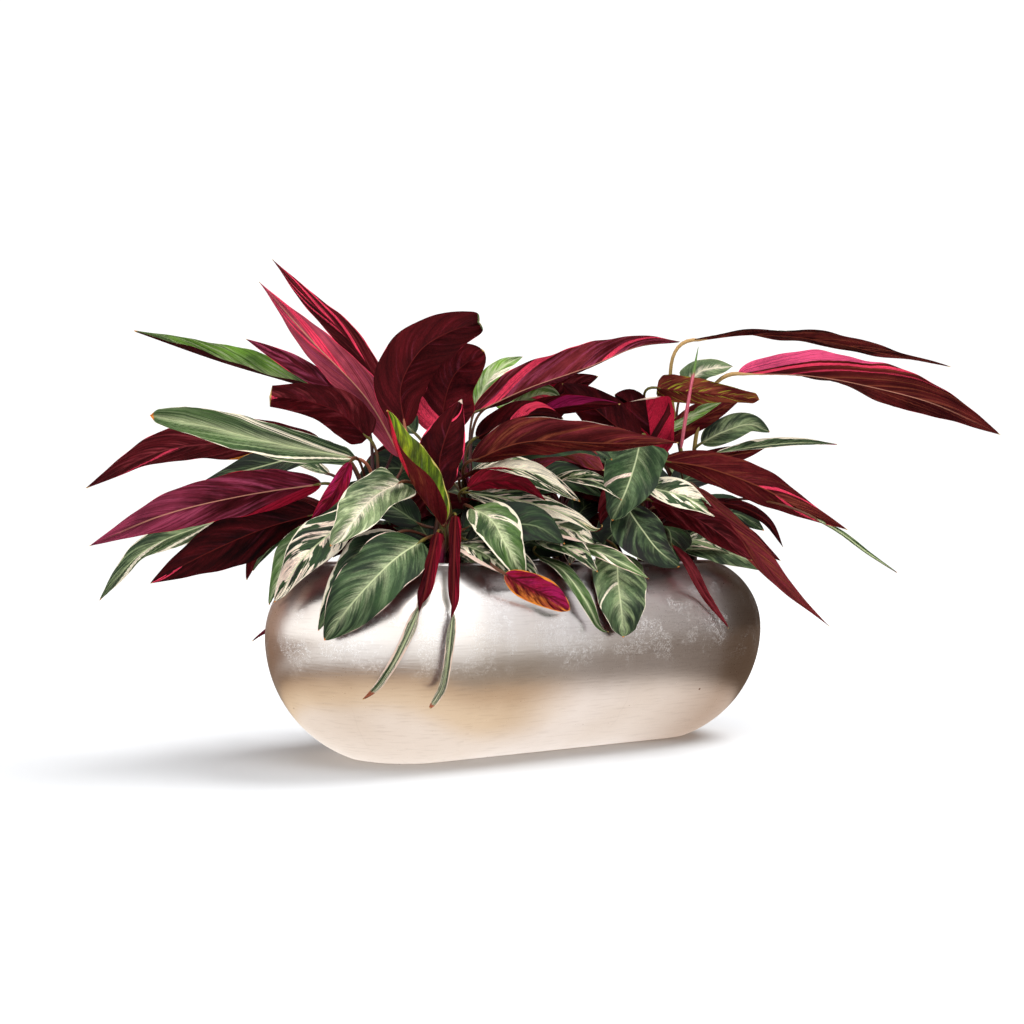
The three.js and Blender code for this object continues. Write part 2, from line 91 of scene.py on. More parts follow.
# The leaves, as in the CAD.
LEAVES = leaves_of("leaf_", """
left_1 left .95 52 1 55 55  -.4 -.62 .67  -205 115 450  -265 190 480  -335 280 515  -395 355 550
left_2 left .98 48 1.2 8 14  .6 .8 .1  -185 10 370  -215 44 444  -257 108 519  -295 180 600
left_3 left .9 32 1.1 10 14  .6 .8 .1  -155 80 445  -187 138 529  -218 191 586  -243 248 646
left_4 left .9 56 .5 14 14  .6 .7 .3  -222 27 393  -258 38 424  -294 53 437  -336 66 440
left_5 left .8 62 .7 20 25  -.6 -.7 .4  -250 5 365  -327 32 379  -409 59 398  -480 81 411
left_6 left .7 58 1 12 35  .6 .7 .4  -265 70 390  -335 145 390  -410 225 380  -475 315 335
left_7 left .6 44 1 10 10  -.6 -.6 .6  -265 45 375  -310 75 365  -360 100 350  -400 130 335
left_8 left .5 58 1 10 10  .6 .7 .3  -285 30 335  -375 60 320  -465 85 295  -545 100 260
left_9 left .4 66 .9 12 12  .6 .7 .3  -280 45 300  -340 80 280  -400 110 250  -455 145 215
left_10 left .3 50 .9 14 14  -.6 -.6 .5  -320 120 310  -375 175 285  -430 240 250  -465 295 190
left_11 left .35 60 .8 8 8  -.8 -.5 .4  -270 -25 305  -305 -30 275  -345 -30 240  -365 -5 195
top_1 front .98 70 .5 12 12  .4 .9 .1  -195 -15 405  -195 -5 455  -170 -10 500  -135 -25 525  -95 -45 540
top_2 middle .98 84 .5 12 12  .4 .9 .1  -129 3 398  -127 1 439  -111 -2 479  -79 -17 506
top_3 front .99 58 .8 25 25  .6 .8 .1  -175 -75 325  -180 -70 360  -170 -75 400  -155 -80 435
top_4 front .7 66 .7 60 50  .3 -.9 .4  -185 -85 285  -215 -75 330  -235 -60 375  -240 -50 420
top_5 middle .9 66 1 60 8  .6 .6 .5  -80 5 430  -10 -20 465  70 -45 495  140 -60 525  200 -75 535
middle_1 middle .9 64 1.1 16 16  .4 .6 .7  -130 -65 364  -87 -112 385  -17 -172 385  56 -231 384
middle_2 middle .8 44 .8 14 14  .4 .6 .7  -100 -30 395  -70 -50 415  -35 -70 425  -5 -85 420
front_1 front .35 78 .7 6 6  -.6 -.7 .3  -225 -100 265  -280 -120 240  -320 -115 200  -345 -90 155
front_2 front .2 46 .8 8 8  -.8 -.6 .3  -235 -65 275  -285 -70 250  -320 -80 210  -345 -75 165
front_3 front .6 64 .8 10 10  -.5 -.7 .6  -225 -55 335  -270 -65 315  -305 -80 285  -335 -85 260
front_4 front .3 16 .9 20 20  -.8 -.6 .2  -205 -105 275  -235 -140 245  -260 -160 200  -285 -155 145 \
  -300 -140 110  -310 -125 85
front_5 front .5 15 .9 20 20  -.4 -.9 .2  -180 -105 295  -215 -155 245  -230 -175 185  -240 -175 115 \
  -245 -165 90  -260 -155 70
front_6 middle .5 56 .7 8 8  -.3 -.8 .5  -150 -95 305  -145 -130 290  -145 -160 260  -120 -160 220
front_7 middle .15 36 .8 10 10  .1 .9 .4  -155 -170 228  -130 -180 213  -100 -185 200  -70 -190 180
front_8 centre .2 22 .8 10 10  -.2 -.9 .3  -55 -100 247  -55 -150 230  -45 -180 195  -25 -190 150
front_9 centre .3 72 .7 8 8  -.2 -.9 .2  45 -130 252  25 -155 225  10 -180 190  5 -190 150
front_10 centre .35 26 .9 8 8  -.1 -.8 .6  -10 -125 260  5 -155 250  25 -175 235  50 -185 220
front_11 right .9 78 .8 8 8  -.5 -.8 .4  71 -144 389  61 -144 357  45 -144 323  28 -141 291
front_12 right .3 60 .7 8 8  -.4 -.8 .4  64 -122 315  73 -141 284  85 -160 257  103 -182 234
front_13 middle .6 30 .9 10 10  -.3 -.8 .6  -130 -55 325  -80 -100 315  -35 -140 295  -5 -170 265
front_14 middle .65 30 1 14 14  .6 .6 .5  -140 -70 330  -120 -90 340  -95 -115 335  -70 -135 315
front_15 middle .7 38 .8 10 10  -.4 -.7 .6  -115 -40 350  -85 -70 355  -45 -100 340  -10 -125 315
right_1 right .98 80 .4 14 14  .5 .8 .2  139 -89 378  135 -90 402  130 -91 427  125 -92 453
right_2 end .98 42 .8 14 14  .6 .6 .5  160 -75 470  195 -100 465  235 -125 460  275 -150 455
right_3 end .97 52 1 4 4  .05 .08 1  230 -70 540  305 -105 550  400 -145 545  490 -185 530  585 -220 515
right_4 end .96 70 .9 30 8  .6 .6 .6  267 -118 492  330 -175 489  384 -230 476  442 -298 449  498 -364 405
right_5 end .7 44 .7 10 10  -.4 -.8 .5  245 -70 400  265 -90 415  295 -110 425  315 -130 415
right_6 end .6 26 .9 16 16  -.2 -.5 .9  245 -100 385  300 -125 395  355 -150 400  405 -170 400
right_7 right .7 48 1 12 12  .6 .7 .4  130 -120 370  165 -165 360  205 -220 335  230 -270 305  260 -315 280
right_8 end .4 30 1.3 12 12  .8 .6 .2  175 -135 335  210 -190 265  230 -245 205  250 -295 160
right_9 right .45 42 .9 12 12  .6 .7 .3  150 -85 310  205 -110 295  260 -135 270  315 -150 240
right_10 right .6 42 .8 10 10  -.3 -.8 .6  90 -131 335  116 -154 327  139 -173 314  161 -190 296
right_11 end .2 42 .8 8 8  -.3 -.8 .6  180 -105 255  210 -130 255  235 -155 245  270 -180 225
right_12 right .2 15 .9 12 12  .8 .5 .2  130 -140 260  130 -170 235  155 -175 195  185 -185 155
rear_1 left .5 60 .8 8 8  -.3 .8 .5  -215 105 300  -245 160 310  -275 205 280  -290 230 215
rear_2 left .3 32 .9 8 8  -.3 .8 .4  -165 130 262  -196 188 241  -220 243 170  -264 269 131
rear_3 middle .6 62 .8 8 8  0 .9 .5  -70 90 295  -60 150 300  -50 205 265  -50 230 195
rear_4 centre .6 60 .8 8 8  0 .9 .5  60 80 295  75 140 295  90 200 260  95 230 190
rear_5 centre .5 56 .8 8 8  .3 .8 .5  110 70 290  160 120 300  200 165 275  230 205 215
rear_6 end .5 58 .8 8 8  .4 .8 .5  270 20 285  300 80 290  330 135 260  350 170 200
new end .9 6 .8 5 5  -.6 -.8 .1  179 -101 389  178 -112 432  180 -121 476  187 -126 521
""")

# Small leaves inside the clump, which the CAD leaves out.
SMALL_LEAVES = leaves_of("small_", """
red_strip left .7 22 .9 6 6  .6 .7 .3  -265 -5 360  -285 -5 325  -315 0 290
left_back left .2 40 .8 10 10  -.8 -.4 .4  -290 25 290  -320 25 260  -340 25 230  -350 40 190
left_thin left .9 26 .9 6 14  .6 .8 .1  -215 80 442  -240 104 466  -274 135 494  -320 167 523
front_pale middle .3 36 .8 10 10  -.4 -.8 .4  -150 -90 265  -125 -120 250  -105 -142 235  -95 -155 220
pink_brown centre .9 50 .8 10 10  .2 .8 .6  -37 -47 356  -23 -82 374  -2 -115 373  16 -140 353
cream_long middle .8 40 .9 12 12  -.1 -.6 .8  -121 -30 344  -110 -75 355  -85 -123 349  -50 -167 315
cream_back centre .85 36 .8 10 10  -.1 -.6 .8  -16 -62 336  0 -92 345  21 -126 337  40 -146 317
grey_wide centre .4 54 .8 8 8  -.2 -.7 .7  -48 -77 292  -38 -102 289  -23 -125 279  -4 -145 263
dark_mid middle .5 50 .8 10 10  -.1 -.6 .8  -115 -34 317  -109 -63 316  -93 -93 306  -73 -114 285
grey_inner middle .3 40 .8 10 10  -.5 -.7 .5  -110 -32 282  -126 -51 267  -137 -62 249  -141 -65 236
cream_low middle .2 40 .8 10 10  -.1 -.8 .6  -141 -59 248  -135 -100 243  -117 -131 231  -89 -158 217
green_low centre .2 46 .8 8 8  -.1 -.7 .7  -43 -86 267  -41 -125 261  -33 -155 248  -19 -171 229
red_inner centre .8 34 .9 10 10  .3 .8 .4  -46 -16 357  -28 -35 369  -10 -54 379  5 -65 384
dark_back_1 centre .95 52 .8 10 10  .3 .8 .4  5 21 413  38 4 446  70 -13 473  95 -31 485
dark_back_2 right .95 60 .8 12 12  .3 .8 .4  121 -86 398  91 -71 417  61 -56 443  29 -39 470
dark_fan right .9 50 .7 14 14  .4 .7 .5  134 -71 413  132 -63 433  127 -54 451  113 -44 461
pink_arrow centre .95 36 .9 10 10  .3 .7 .6  -57 -21 414  -22 -58 429  13 -96 438  51 -129 438
green_upper middle .95 44 .7 8 8  -.3 -.7 .6  -34 24 444  -7 5 450  23 -10 458  41 -23 448
end_dark end .85 44 .9 12 12  .5 .7 .5  191 -63 403  218 -76 423  253 -89 444  290 -103 462
green_slip end .9 20 .9 8 8  -.5 -.8 .3  187 -66 413  208 -75 430  231 -86 443  257 -98 455
under_right right .6 50 .9 10 10  .4 .7 .5  118 -109 319  136 -147 306  158 -187 280  189 -222 242
right_under end .7 26 .8 8 8  .5 .8 .3  225 -69 374  256 -85 380  287 -105 386  316 -123 395
centre_dark right .6 60 .8 10 10  .3 .7 .6  127 -79 346  98 -83 332  70 -87 312  53 -87 287
fill_1 right .4 60 .8 10 10  -.2 -.6 .8  121 -86 294  85 -98 287  55 -101 270  41 -97 247
fill_2 right .3 60 .8 10 10  .1 -.6 .8  155 -86 287  144 -115 280  128 -141 261  125 -151 234
end_pale end .95 40 .6 8 8  -.5 -.8 .3  213 -78 478  227 -86 495  246 -97 500  266 -109 503
end_tail end .6 7 .9 20 20  -.5 -.8 .4  235 -285 294  262 -301 277  292 -320 251  323 -340 227
end_curl right .5 16 .9 8 8  .6 .7 .3  211 -126 320  238 -158 310  260 -180 291  273 -195 258
top_green middle .9 28 .8 8 8  -.3 -.7 .6  -60 30 440  -35 40 475  -5 45 500  30 50 515
front_low front .1 44 .8 8 8  -.2 -.8 .6  -175 -100 262  -170 -128 258  -160 -150 245  -150 -172 225
centre_low centre .2 46 .8 8 8  -.1 -.6 .8  20 -60 262  0 -95 268  -25 -125 258  -45 -150 238
right_low right .15 44 .8 8 8  .1 -.6 .8  175 -90 262  200 -115 268  225 -130 258  250 -150 235
end_low end .3 46 .8 8 8  .6 -.2 .8  275 -30 290  310 -25 300  345 -15 285  375 -10 250
end_back end .6 50 .8 8 8  .4 .5 .8  265 5 360  295 40 385  330 80 385  365 120 360
right_back right .7 54 .8 8 8  .1 .6 .8  165 -10 350  180 45 385  190 100 385  200 150 355
centre_rear centre .8 54 .8 8 8  -.1 .6 .8  45 40 350  30 90 380  15 140 375  0 185 345
middle_rear middle .8 54 .8 8 8  -.1 .6 .8  -100 40 350  -115 90 385  -130 145 380  -140 190 350
front_rear front .8 50 .8 8 8  -.3 .6 .8  -165 10 400  -170 60 430  -180 110 430  -190 155 405
left_rear left .6 46 .8 8 8  -.5 .5 .8  -245 85 350  -275 135 365  -310 185 350  -340 225 315
left_low left .2 42 .8 8 8  -.8 0 .6  -250 65 275  -285 75 280  -320 85 262  -345 95 230
""")

# The young leaves low down round each shoot: how many, the heights they start at, and the looks they wear.
# The "shade" look is darkened to paint the shade deep in the clump.
INNER_LEAVES = {
    "left": (6, (232, 285), ("shade", "wine")),
    "front": (7, (232, 300), ("shade", "night")),
    "middle": (9, (236, 360), ("shade", "umber")),
    "centre": (9, (236, 372), ("shade", "wine")),
    "right": (9, (236, 365), ("shade", "night")),
    "end": (7, (236, 335), ("shade", "umber")),
}


def srgb(red, green, blue):
    """A colour as it looks on a screen, 0 to 255, turned into the shader's linear values."""
    levels = [((c / 255 + 0.055) / 1.055) ** 2.4 if c > 10 else c / 3294.6 for c in (red, green, blue)]
    return tuple(levels) + (1.0,)


WHITE = (1.0, 1.0, 1.0, 1.0)
COLOURS = {
    "deep": (16, 30, 12), "forest": (42, 64, 32), "leaf": (78, 106, 50), "bright": (112, 152, 50),
    "sage": (128, 144, 100), "grey_green": (84, 104, 68), "mist": (184, 194, 150), "lime": (150, 178, 24),
    "moss": (70, 86, 10), "feather": (206, 214, 166), "cream": (246, 234, 208), "blush": (242, 212, 194),
    "butter": (238, 214, 120), "black": (14, 3, 4), "night": (34, 0, 3), "maroon": (60, 6, 9),
    "wine": (84, 12, 19), "umber": (94, 26, 25), "plum": (108, 26, 44), "rose_plum": (158, 62, 90),
    "rose": (160, 62, 76), "dusk": (192, 76, 94), "rust": (130, 62, 42), "brick": (124, 42, 48),
    "crimson": (154, 18, 44), "scarlet": (214, 36, 60), "pink": (246, 66, 98), "hot_pink": (255, 92, 140),
    "magenta": (150, 22, 78), "olive": (158, 152, 44), "orange": (232, 138, 52), "copper": (160, 92, 66),
    "tan": (206, 142, 118), "straw": (214, 178, 110), "silver": (206, 197, 190),
    "warm_silver": (195, 183, 172), "dull_silver": (136, 125, 116), "speck": (110, 80, 60),
    "wet_soil": (28, 18, 13), "soil": (66, 46, 34), "dark_bark": (40, 26, 18), "bark": (98, 68, 46),
    "dark_perlite": (190, 186, 176), "perlite": (236, 234, 228), "brown_stalk": (112, 66, 34),
    "olive_stalk": (104, 98, 34), "moss_stalk": (150, 134, 46), "tan_stalk": (204, 158, 104),
    "light_shaft": (226, 104, 124), "dark_shaft": (180, 50, 76),
}
COLOURS = {name: srgb(*levels) for name, levels in COLOURS.items()}

# How a side of a leaf looks: two ground colours, the feathering from the rib (colour, strength), streaks
# along the side veins (colour, share of the blade, width in millimetres, softness), what a pale sector
# shows, the rib and the margin. DRESS may add to these: the tip (colour, start), how far the side veins
# slant, a colour that comes in along the blade (fade: colour, start, end, strength) or one that covers half
# of it (half: edge, colour).
UPPERS = {
    # shade: painted shade, darker greens for leaves that sit in the shade deep in the clump
    "shade": dict(ground=("black", "deep"), feather=("grey_green", 0.4),
        streaks=(("forest", 0.3, 12, 0.12),), sector="cream", rib="sage", margin=("sage", 0.025)),
    "deep": dict(ground=("deep", "forest"), feather=("sage", 0.6), streaks=(("grey_green", 0.3, 12, 0.12),),
        sector="cream", rib="feather", margin=("mist", 0.025)),
    "green": dict(ground=("forest", "leaf"), feather=("mist", 0.6), streaks=(("sage", 0.3, 12, 0.12),),
        sector="cream", rib="feather", margin=("cream", 0.035)),
    "bright": dict(ground=("leaf", "bright"), feather=("feather", 0.6), streaks=(("mist", 0.25, 12, 0.14),),
        sector="cream", rib="mist", margin=("feather", 0.03)),
    "striped": dict(ground=("deep", "forest"), feather=("sage", 0.4),
        streaks=(("sage", 0.36, 14, 0.03), ("cream", 0.36, 13, 0.015)), sector="cream", rib="feather",
        margin=("blush", 0.08)),
    "cream": dict(ground=("blush", "cream"), feather=("cream", 0.3),
        streaks=(("sage", 0.42, 17, 0.03), ("forest", 0.44, 15, 0.015), ("deep", 0.34, 15, 0.03)),
        sector="cream", rib="feather", margin=("cream", 0.09)),
    "misty": dict(ground=("forest", "sage"), feather=("cream", 0.8), streaks=(("mist", 0.3, 12, 0.1),),
        sector="cream", rib="cream", margin=("cream", 0.07)),
    "lime": dict(ground=("moss", "moss"), feather=("moss", 0.4), streaks=(("lime", 0.36, 12, 0.14),),
        sector="butter", rib="moss", margin=("butter", 0.07)),
}
UNDERS = {
    "night": dict(ground=("night", "maroon"), feather=("black", 0.4), streaks=(("wine", 0.2, 24, 0.2),),
        sector="pink", rib="umber", margin=("crimson", 0.02)),
    "wine": dict(ground=("maroon", "wine"), feather=("night", 0.3), streaks=(("brick", 0.25, 14, 0.12),),
        sector="pink", rib="brick", margin=("brick", 0.02)),
    "plum": dict(ground=("maroon", "plum"), feather=("maroon", 0.4),
        streaks=(("rose_plum", 0.3, 18, 0.12),), sector="hot_pink", rib="tan", margin=("scarlet", 0.02)),
    "rose": dict(ground=("brick", "rose"), feather=("wine", 0.3), streaks=(("rose_plum", 0.3, 14, 0.12),),
        sector="pink", rib="tan", margin=("pink", 0.05)),
    "umber": dict(ground=("wine", "umber"), feather=("night", 0.35), streaks=(("rust", 0.14, 14, 0.12),),
        sector="pink", rib="rust", margin=("pink", 0.015)),
    "bark": dict(ground=("umber", "rust"), feather=("umber", 0.4), streaks=(("olive", 0.16, 4, 0.03),),
        sector="olive", rib="umber", margin=("olive", 0.04)),
    "crimson": dict(ground=("crimson", "magenta"), feather=("wine", 0.5), streaks=(("wine", 0.3, 8, 0.1),),
        sector="pink", rib="wine", margin=("scarlet", 0.03)),
    "brick": dict(ground=("wine", "brick"), feather=("wine", 0.3), streaks=(("rust", 0.3, 10, 0.12),),
        sector="pink", rib="umber", margin=("brick", 0.03)),
}

# Which look each leaf wears, above and beneath, and its pale sectors: (edge, start, end, colour if
# special), with edge -1 for the left edge and 1 for the right, and start and end as shares of the length,
# where side veins leave the midrib. A last entry changes or adds single values of either look.
DRESS = {
    "leaf_left_1": ("bright", "night", (), {"under": {"rib": "night"}}),
    "leaf_left_2": ("striped", "rose", ((-1, 0.4, 0.6), (1, 0.5, 0.56), (1, 0.66, 0.72)),
        {"under": {"ground": ("rose", "dusk"), "feather": ("brick", 0.2), "fade": ("wine", 0.4, 0.65, 0.3),
        "slant": 0.4}}),
    "leaf_left_3": ("striped", "wine", ((-1, 0.48, 0.6), (-1, 0.24, 0.33), (1, 0.4, 0.47), (1, 0.62, 0.7)),
        {"under": {"margin": ("pink", 0.06), "rib": "wine", "slant": 0.4}}),
    "leaf_left_4": ("deep", "wine", ((1, 0.93, 1.2), (-1, 0.96, 1.2)), {"under": {"rib": "wine"}}),
    "leaf_left_5": ("green", "wine", ((1, -0.1, 0.0), (1, 0.03, 0.05), (-1, -0.2, -0.1)),
        {"over": {"ground": ("deep", "forest"), "margin": ("cream", 0.035), "slant": 0.6,
        "feather": ("feather", 0.7), "fade": ("leaf", 0.35, 0.8, 0.5)}}),
    "leaf_left_6": ("deep", "wine", ((1, 0.56, 0.6), (1, 0.02, 0.1, "orange")),
        {"under": {"margin": ("pink", 0.03)}}),
    "leaf_left_7": ("deep", "wine", (),
        {"over": {"ground": ("black", "deep"), "feather": ("grey_green", 0.4)}}),
    "leaf_left_8": ("deep", "plum", ((1, -0.35, 0.04, "crimson"),),
        {"under": {"fade": ("rose_plum", 0.3, 0.9, 0.55), "feather": ("night", 0.5),
        "streaks": (("rose_plum", 0.2, 18, 0.12),), "margin": ("scarlet", 0.025)}}),
    "leaf_left_9": ("deep", "night", ((1, 0.8, 0.86), (1, 0.9, 1.2)),
        {"under": {"ground": ("black", "maroon")}}),
    "leaf_left_10": ("green", "wine", ((-1, -0.3, 0.06), (-1, 0.2, 0.26), (-1, 0.5, 0.64)),
        {"over": {"ground": ("deep", "forest"), "margin": ("cream", 0.08), "feather": ("sage", 0.5)}}),
    "leaf_left_11": ("cream", "wine",
        ((1, -0.3, 0.1, "forest"), (1, 0.2, 0.26, "deep"), (-1, -0.3, -0.1, "forest")),
        {"over": {"streaks": (("forest", 0.3, 20, 0.015), ("deep", 0.24, 15, 0.03))}}),
    "leaf_top_1": ("bright", "night", (),
        {"under": {"ground": ("maroon", "maroon"), "margin": ("pink", 0.02), "tip": ("sage", 0.955)}}),
    "leaf_top_2": ("deep", "night", ((1, -0.3, 0.16),), {"under": {"ground": ("night", "wine")}}),
    "leaf_top_3": ("striped", "night", ((-1, 0.74, 0.78),),
        {"under": {"margin": ("pink", 0.06), "tip": ("blush", 0.96)}}),
    "leaf_top_4": ("lime", "umber", ((-1, 0.45, 0.75, "scarlet"),), {"over": {"margin": ("butter", 0.05)}}),
    "leaf_top_5": ("deep", "rose", ((1, 0.02, 0.12), (1, 0.6, 0.66), (-1, 0.74, 0.78)),
        {"under": {"ground": ("wine", "brick"), "margin": ("pink", 0.03)}}),
    "leaf_middle_1": ("green", "umber", (),
        {"under": {"margin": ("blush", 0.02), "half": (1, "brick"), "ground": ("maroon", "umber")}}),
    "leaf_middle_2": ("deep", "night", ((1, 0.4, 0.6),)),
    "leaf_front_1": ("deep", "wine", (), {"over": {"margin": ("blush", 0.03), "feather": ("mist", 0.65)}}),
    "leaf_front_2": ("deep", "night", ((-1, 0.3, 0.5),), {"over": {"margin": ("cream", 0.16)}}),
    "leaf_front_3": ("misty", "wine", ((-1, 0.72, 0.8),)),
    "leaf_front_4": ("striped", "night", (),
        {"over": {"tip": ("copper", 0.93), "slant": 1.0, "margin": ("blush", 0.25)},
        "under": {"half": (1, "crimson"), "ground": ("night", "wine")}}),
    "leaf_front_5": ("striped", "night", (),
        {"over": {"tip": ("copper", 0.93), "slant": 1.0, "margin": ("blush", 0.25)},
        "under": {"half": (1, "crimson"), "ground": ("night", "wine")}}),
    "leaf_front_6": ("green", "wine", ((1, 0.02, 0.07), (-1, 0.2, 0.26)),
        {"over": {"margin": ("cream", 0.15), "feather": ("feather", 0.9)}}),
    "leaf_front_7": ("deep", "crimson", (),
        {"under": {"half": (-1, "orange"), "margin": ("orange", 0.1), "tip": ("orange", 0.93)}}),
    "leaf_front_8": ("green", "wine", (), {"over": {"margin": ("cream", 0.09)}}),
    "leaf_front_9": ("green", "wine", ((1, 0.42, 0.45),), {"over": {"ground": ("deep", "grey_green")}}),
    "leaf_front_10": ("green", "wine", ((1, 0.2, 0.3),), {"over": {"margin": ("blush", 0.1)}}),
    "leaf_front_11": ("deep", "wine", ((1, 0.36, 0.41, "blush"),)),
    "leaf_front_12": ("deep", "night", (),
        {"over": {"ground": ("black", "deep"), "feather": ("grey_green", 0.5)}}),
    "leaf_front_13": ("cream", "wine", ((1, 0.3, 0.6), (-1, 0.5, 0.7)),
        {"over": {"fade": ("butter", 0.7, 0.95, 0.7), "tip": ("butter", 0.93)}}),
    "leaf_front_14": ("deep", "crimson", (), {"under": {"ground": ("crimson", "wine")}}),
    "leaf_front_15": ("cream", "brick", ((1, 0.2, 0.5, "forest"),)),
    "leaf_right_1": ("deep", "night",
        ((-1, -0.4, 0.16, "crimson"), (-1, 0.34, 1.2, "crimson"), (1, 0.3, 0.36, "crimson")),
        {"under": {"tip": ("blush", 0.965), "margin": ("crimson", 0.12), "rib": "night", "slant": 0.5}}),
    "leaf_right_2": ("green", "bark", ()),
    "leaf_right_3": ("green", "umber", (),
        {"under": {"ground": ("night", "umber"), "margin": ("umber", 0.02)}}),
    "leaf_right_4": ("striped", "umber", ((1, -0.8, -0.04, "hot_pink"), (1, 0.02, 0.08), (1, 0.18, 0.2)),
        {"under": {"ground": ("maroon", "umber"), "rib": "tan", "margin": ("pink", 0.02), "slant": 0.5}}),
    "leaf_right_5": ("green", "wine", (), {"over": {"ground": ("deep", "grey_green")}}),
    "leaf_right_6": ("deep", "crimson", (), {"over": {"margin": ("cream", 0.2)}}),
    "leaf_right_7": ("deep", "umber", ((1, 0.5, 0.54), (-1, 0.6, 0.66)), {"under": {"rib": "rust"}}),
    "leaf_right_8": ("deep", "brick", (), {"under": {"ground": ("brick", "brick"), "rib": "brick"}}),
    "leaf_right_10": ("striped", "wine", ((-1, 0.3, 0.4),), {"over": {"margin": ("cream", 0.12)}}),
    "leaf_right_11": ("green", "wine", (), {"over": {"ground": ("deep", "grey_green")}}),
    "leaf_right_12": ("deep", "wine", (), {"under": {"ground": ("wine", "brick")}}),
    "leaf_rear_1": ("striped", "wine", ()),
    "leaf_rear_2": ("green", "plum", ((1, 0.3, 0.45),)),
    "leaf_rear_3": ("striped", "wine", ((1, 0.2, 0.35), (-1, 0.5, 0.6))),
    "leaf_rear_4": ("green", "umber", ()),
    "leaf_rear_5": ("cream", "wine", ()),
    "leaf_rear_6": ("striped", "plum", ((-1, 0.2, 0.3),)),
    "small_red_strip": ("deep", "crimson", ()),
    "small_left_back": ("green", "wine", ()),
    "small_left_thin": ("deep", "plum", (), {"under": {"margin": ("pink", 0.08), "rib": "plum"}}),
    "small_front_pale": ("cream", "wine", ()),
    "small_pink_brown": ("green", "rose", (), {"under": {"ground": ("rust", "rose"), "rib": "rust"}}),
    "small_cream_long": ("cream", "brick", ((-1, 0.1, 0.8, "cream"),)),
    "small_cream_back": ("cream", "wine", ()),
    "small_grey_wide": ("striped", "wine", (),
        {"over": {"ground": ("deep", "grey_green"), "margin": ("blush", 0.2)}}),
    "small_dark_mid": ("striped", "wine", (),
        {"over": {"ground": ("black", "deep"), "margin": ("blush", 0.16)}}),
    "small_centre_low": ("striped", "wine", (),
        {"over": {"ground": ("black", "deep"), "margin": ("blush", 0.2)}}),
    "small_front_low": ("striped", "wine", (),
        {"over": {"ground": ("black", "deep"), "margin": ("blush", 0.2)}}),
    # painted shade: these fill leaves wear the darkened "shade" look
    "small_fill_1": ("shade", "wine", ()),
    "small_fill_2": ("shade", "wine", ()),
    "small_green_low": ("cream", "wine", (), {"over": {"ground": ("blush", "grey_green")}}),
    "small_grey_inner": ("misty", "wine", (), {"over": {"ground": ("forest", "sage")}}),
    "small_cream_low": ("cream", "wine", ()),
    "small_red_inner": ("deep", "crimson", ()),
    "small_dark_back_1": ("deep", "wine", ((1, 0.2, 0.4, "crimson"),)),
    "small_dark_back_2": ("deep", "night", ()),
    "small_dark_fan": ("deep", "night", ()),
    "small_pink_arrow": ("deep", "crimson", ((1, 0.3, 0.7, "magenta"),),
        {"under": {"ground": ("night", "wine")}}),
    "small_green_upper": ("bright", "wine", ((1, 0.5, 0.8, "pink"),)),
    "small_end_dark": ("deep", "umber", ()),
    "small_green_slip": ("bright", "wine", ()),
    "small_right_under": ("deep", "umber", ()),
    "small_end_pale": ("misty", "wine", (), {"over": {"ground": ("grey_green", "sage"), "streaks": ()}}),
    "small_end_tail": ("green", "umber", ()),
    "small_end_curl": ("deep", "night", ()),
    "small_top_green": ("bright", "wine", ((1, 0.3, 0.5),)),
    "small_right_low": ("striped", "wine", ()),
    "small_end_back": ("green", "plum", ()),
    "small_right_back": ("striped", "wine", ()),
    "small_centre_rear": ("green", "plum", ()),
    "small_middle_rear": ("cream", "wine", ()),
    "small_left_rear": ("striped", "plum", ()),
}
PLAIN_DRESS = ("deep", "wine", ())

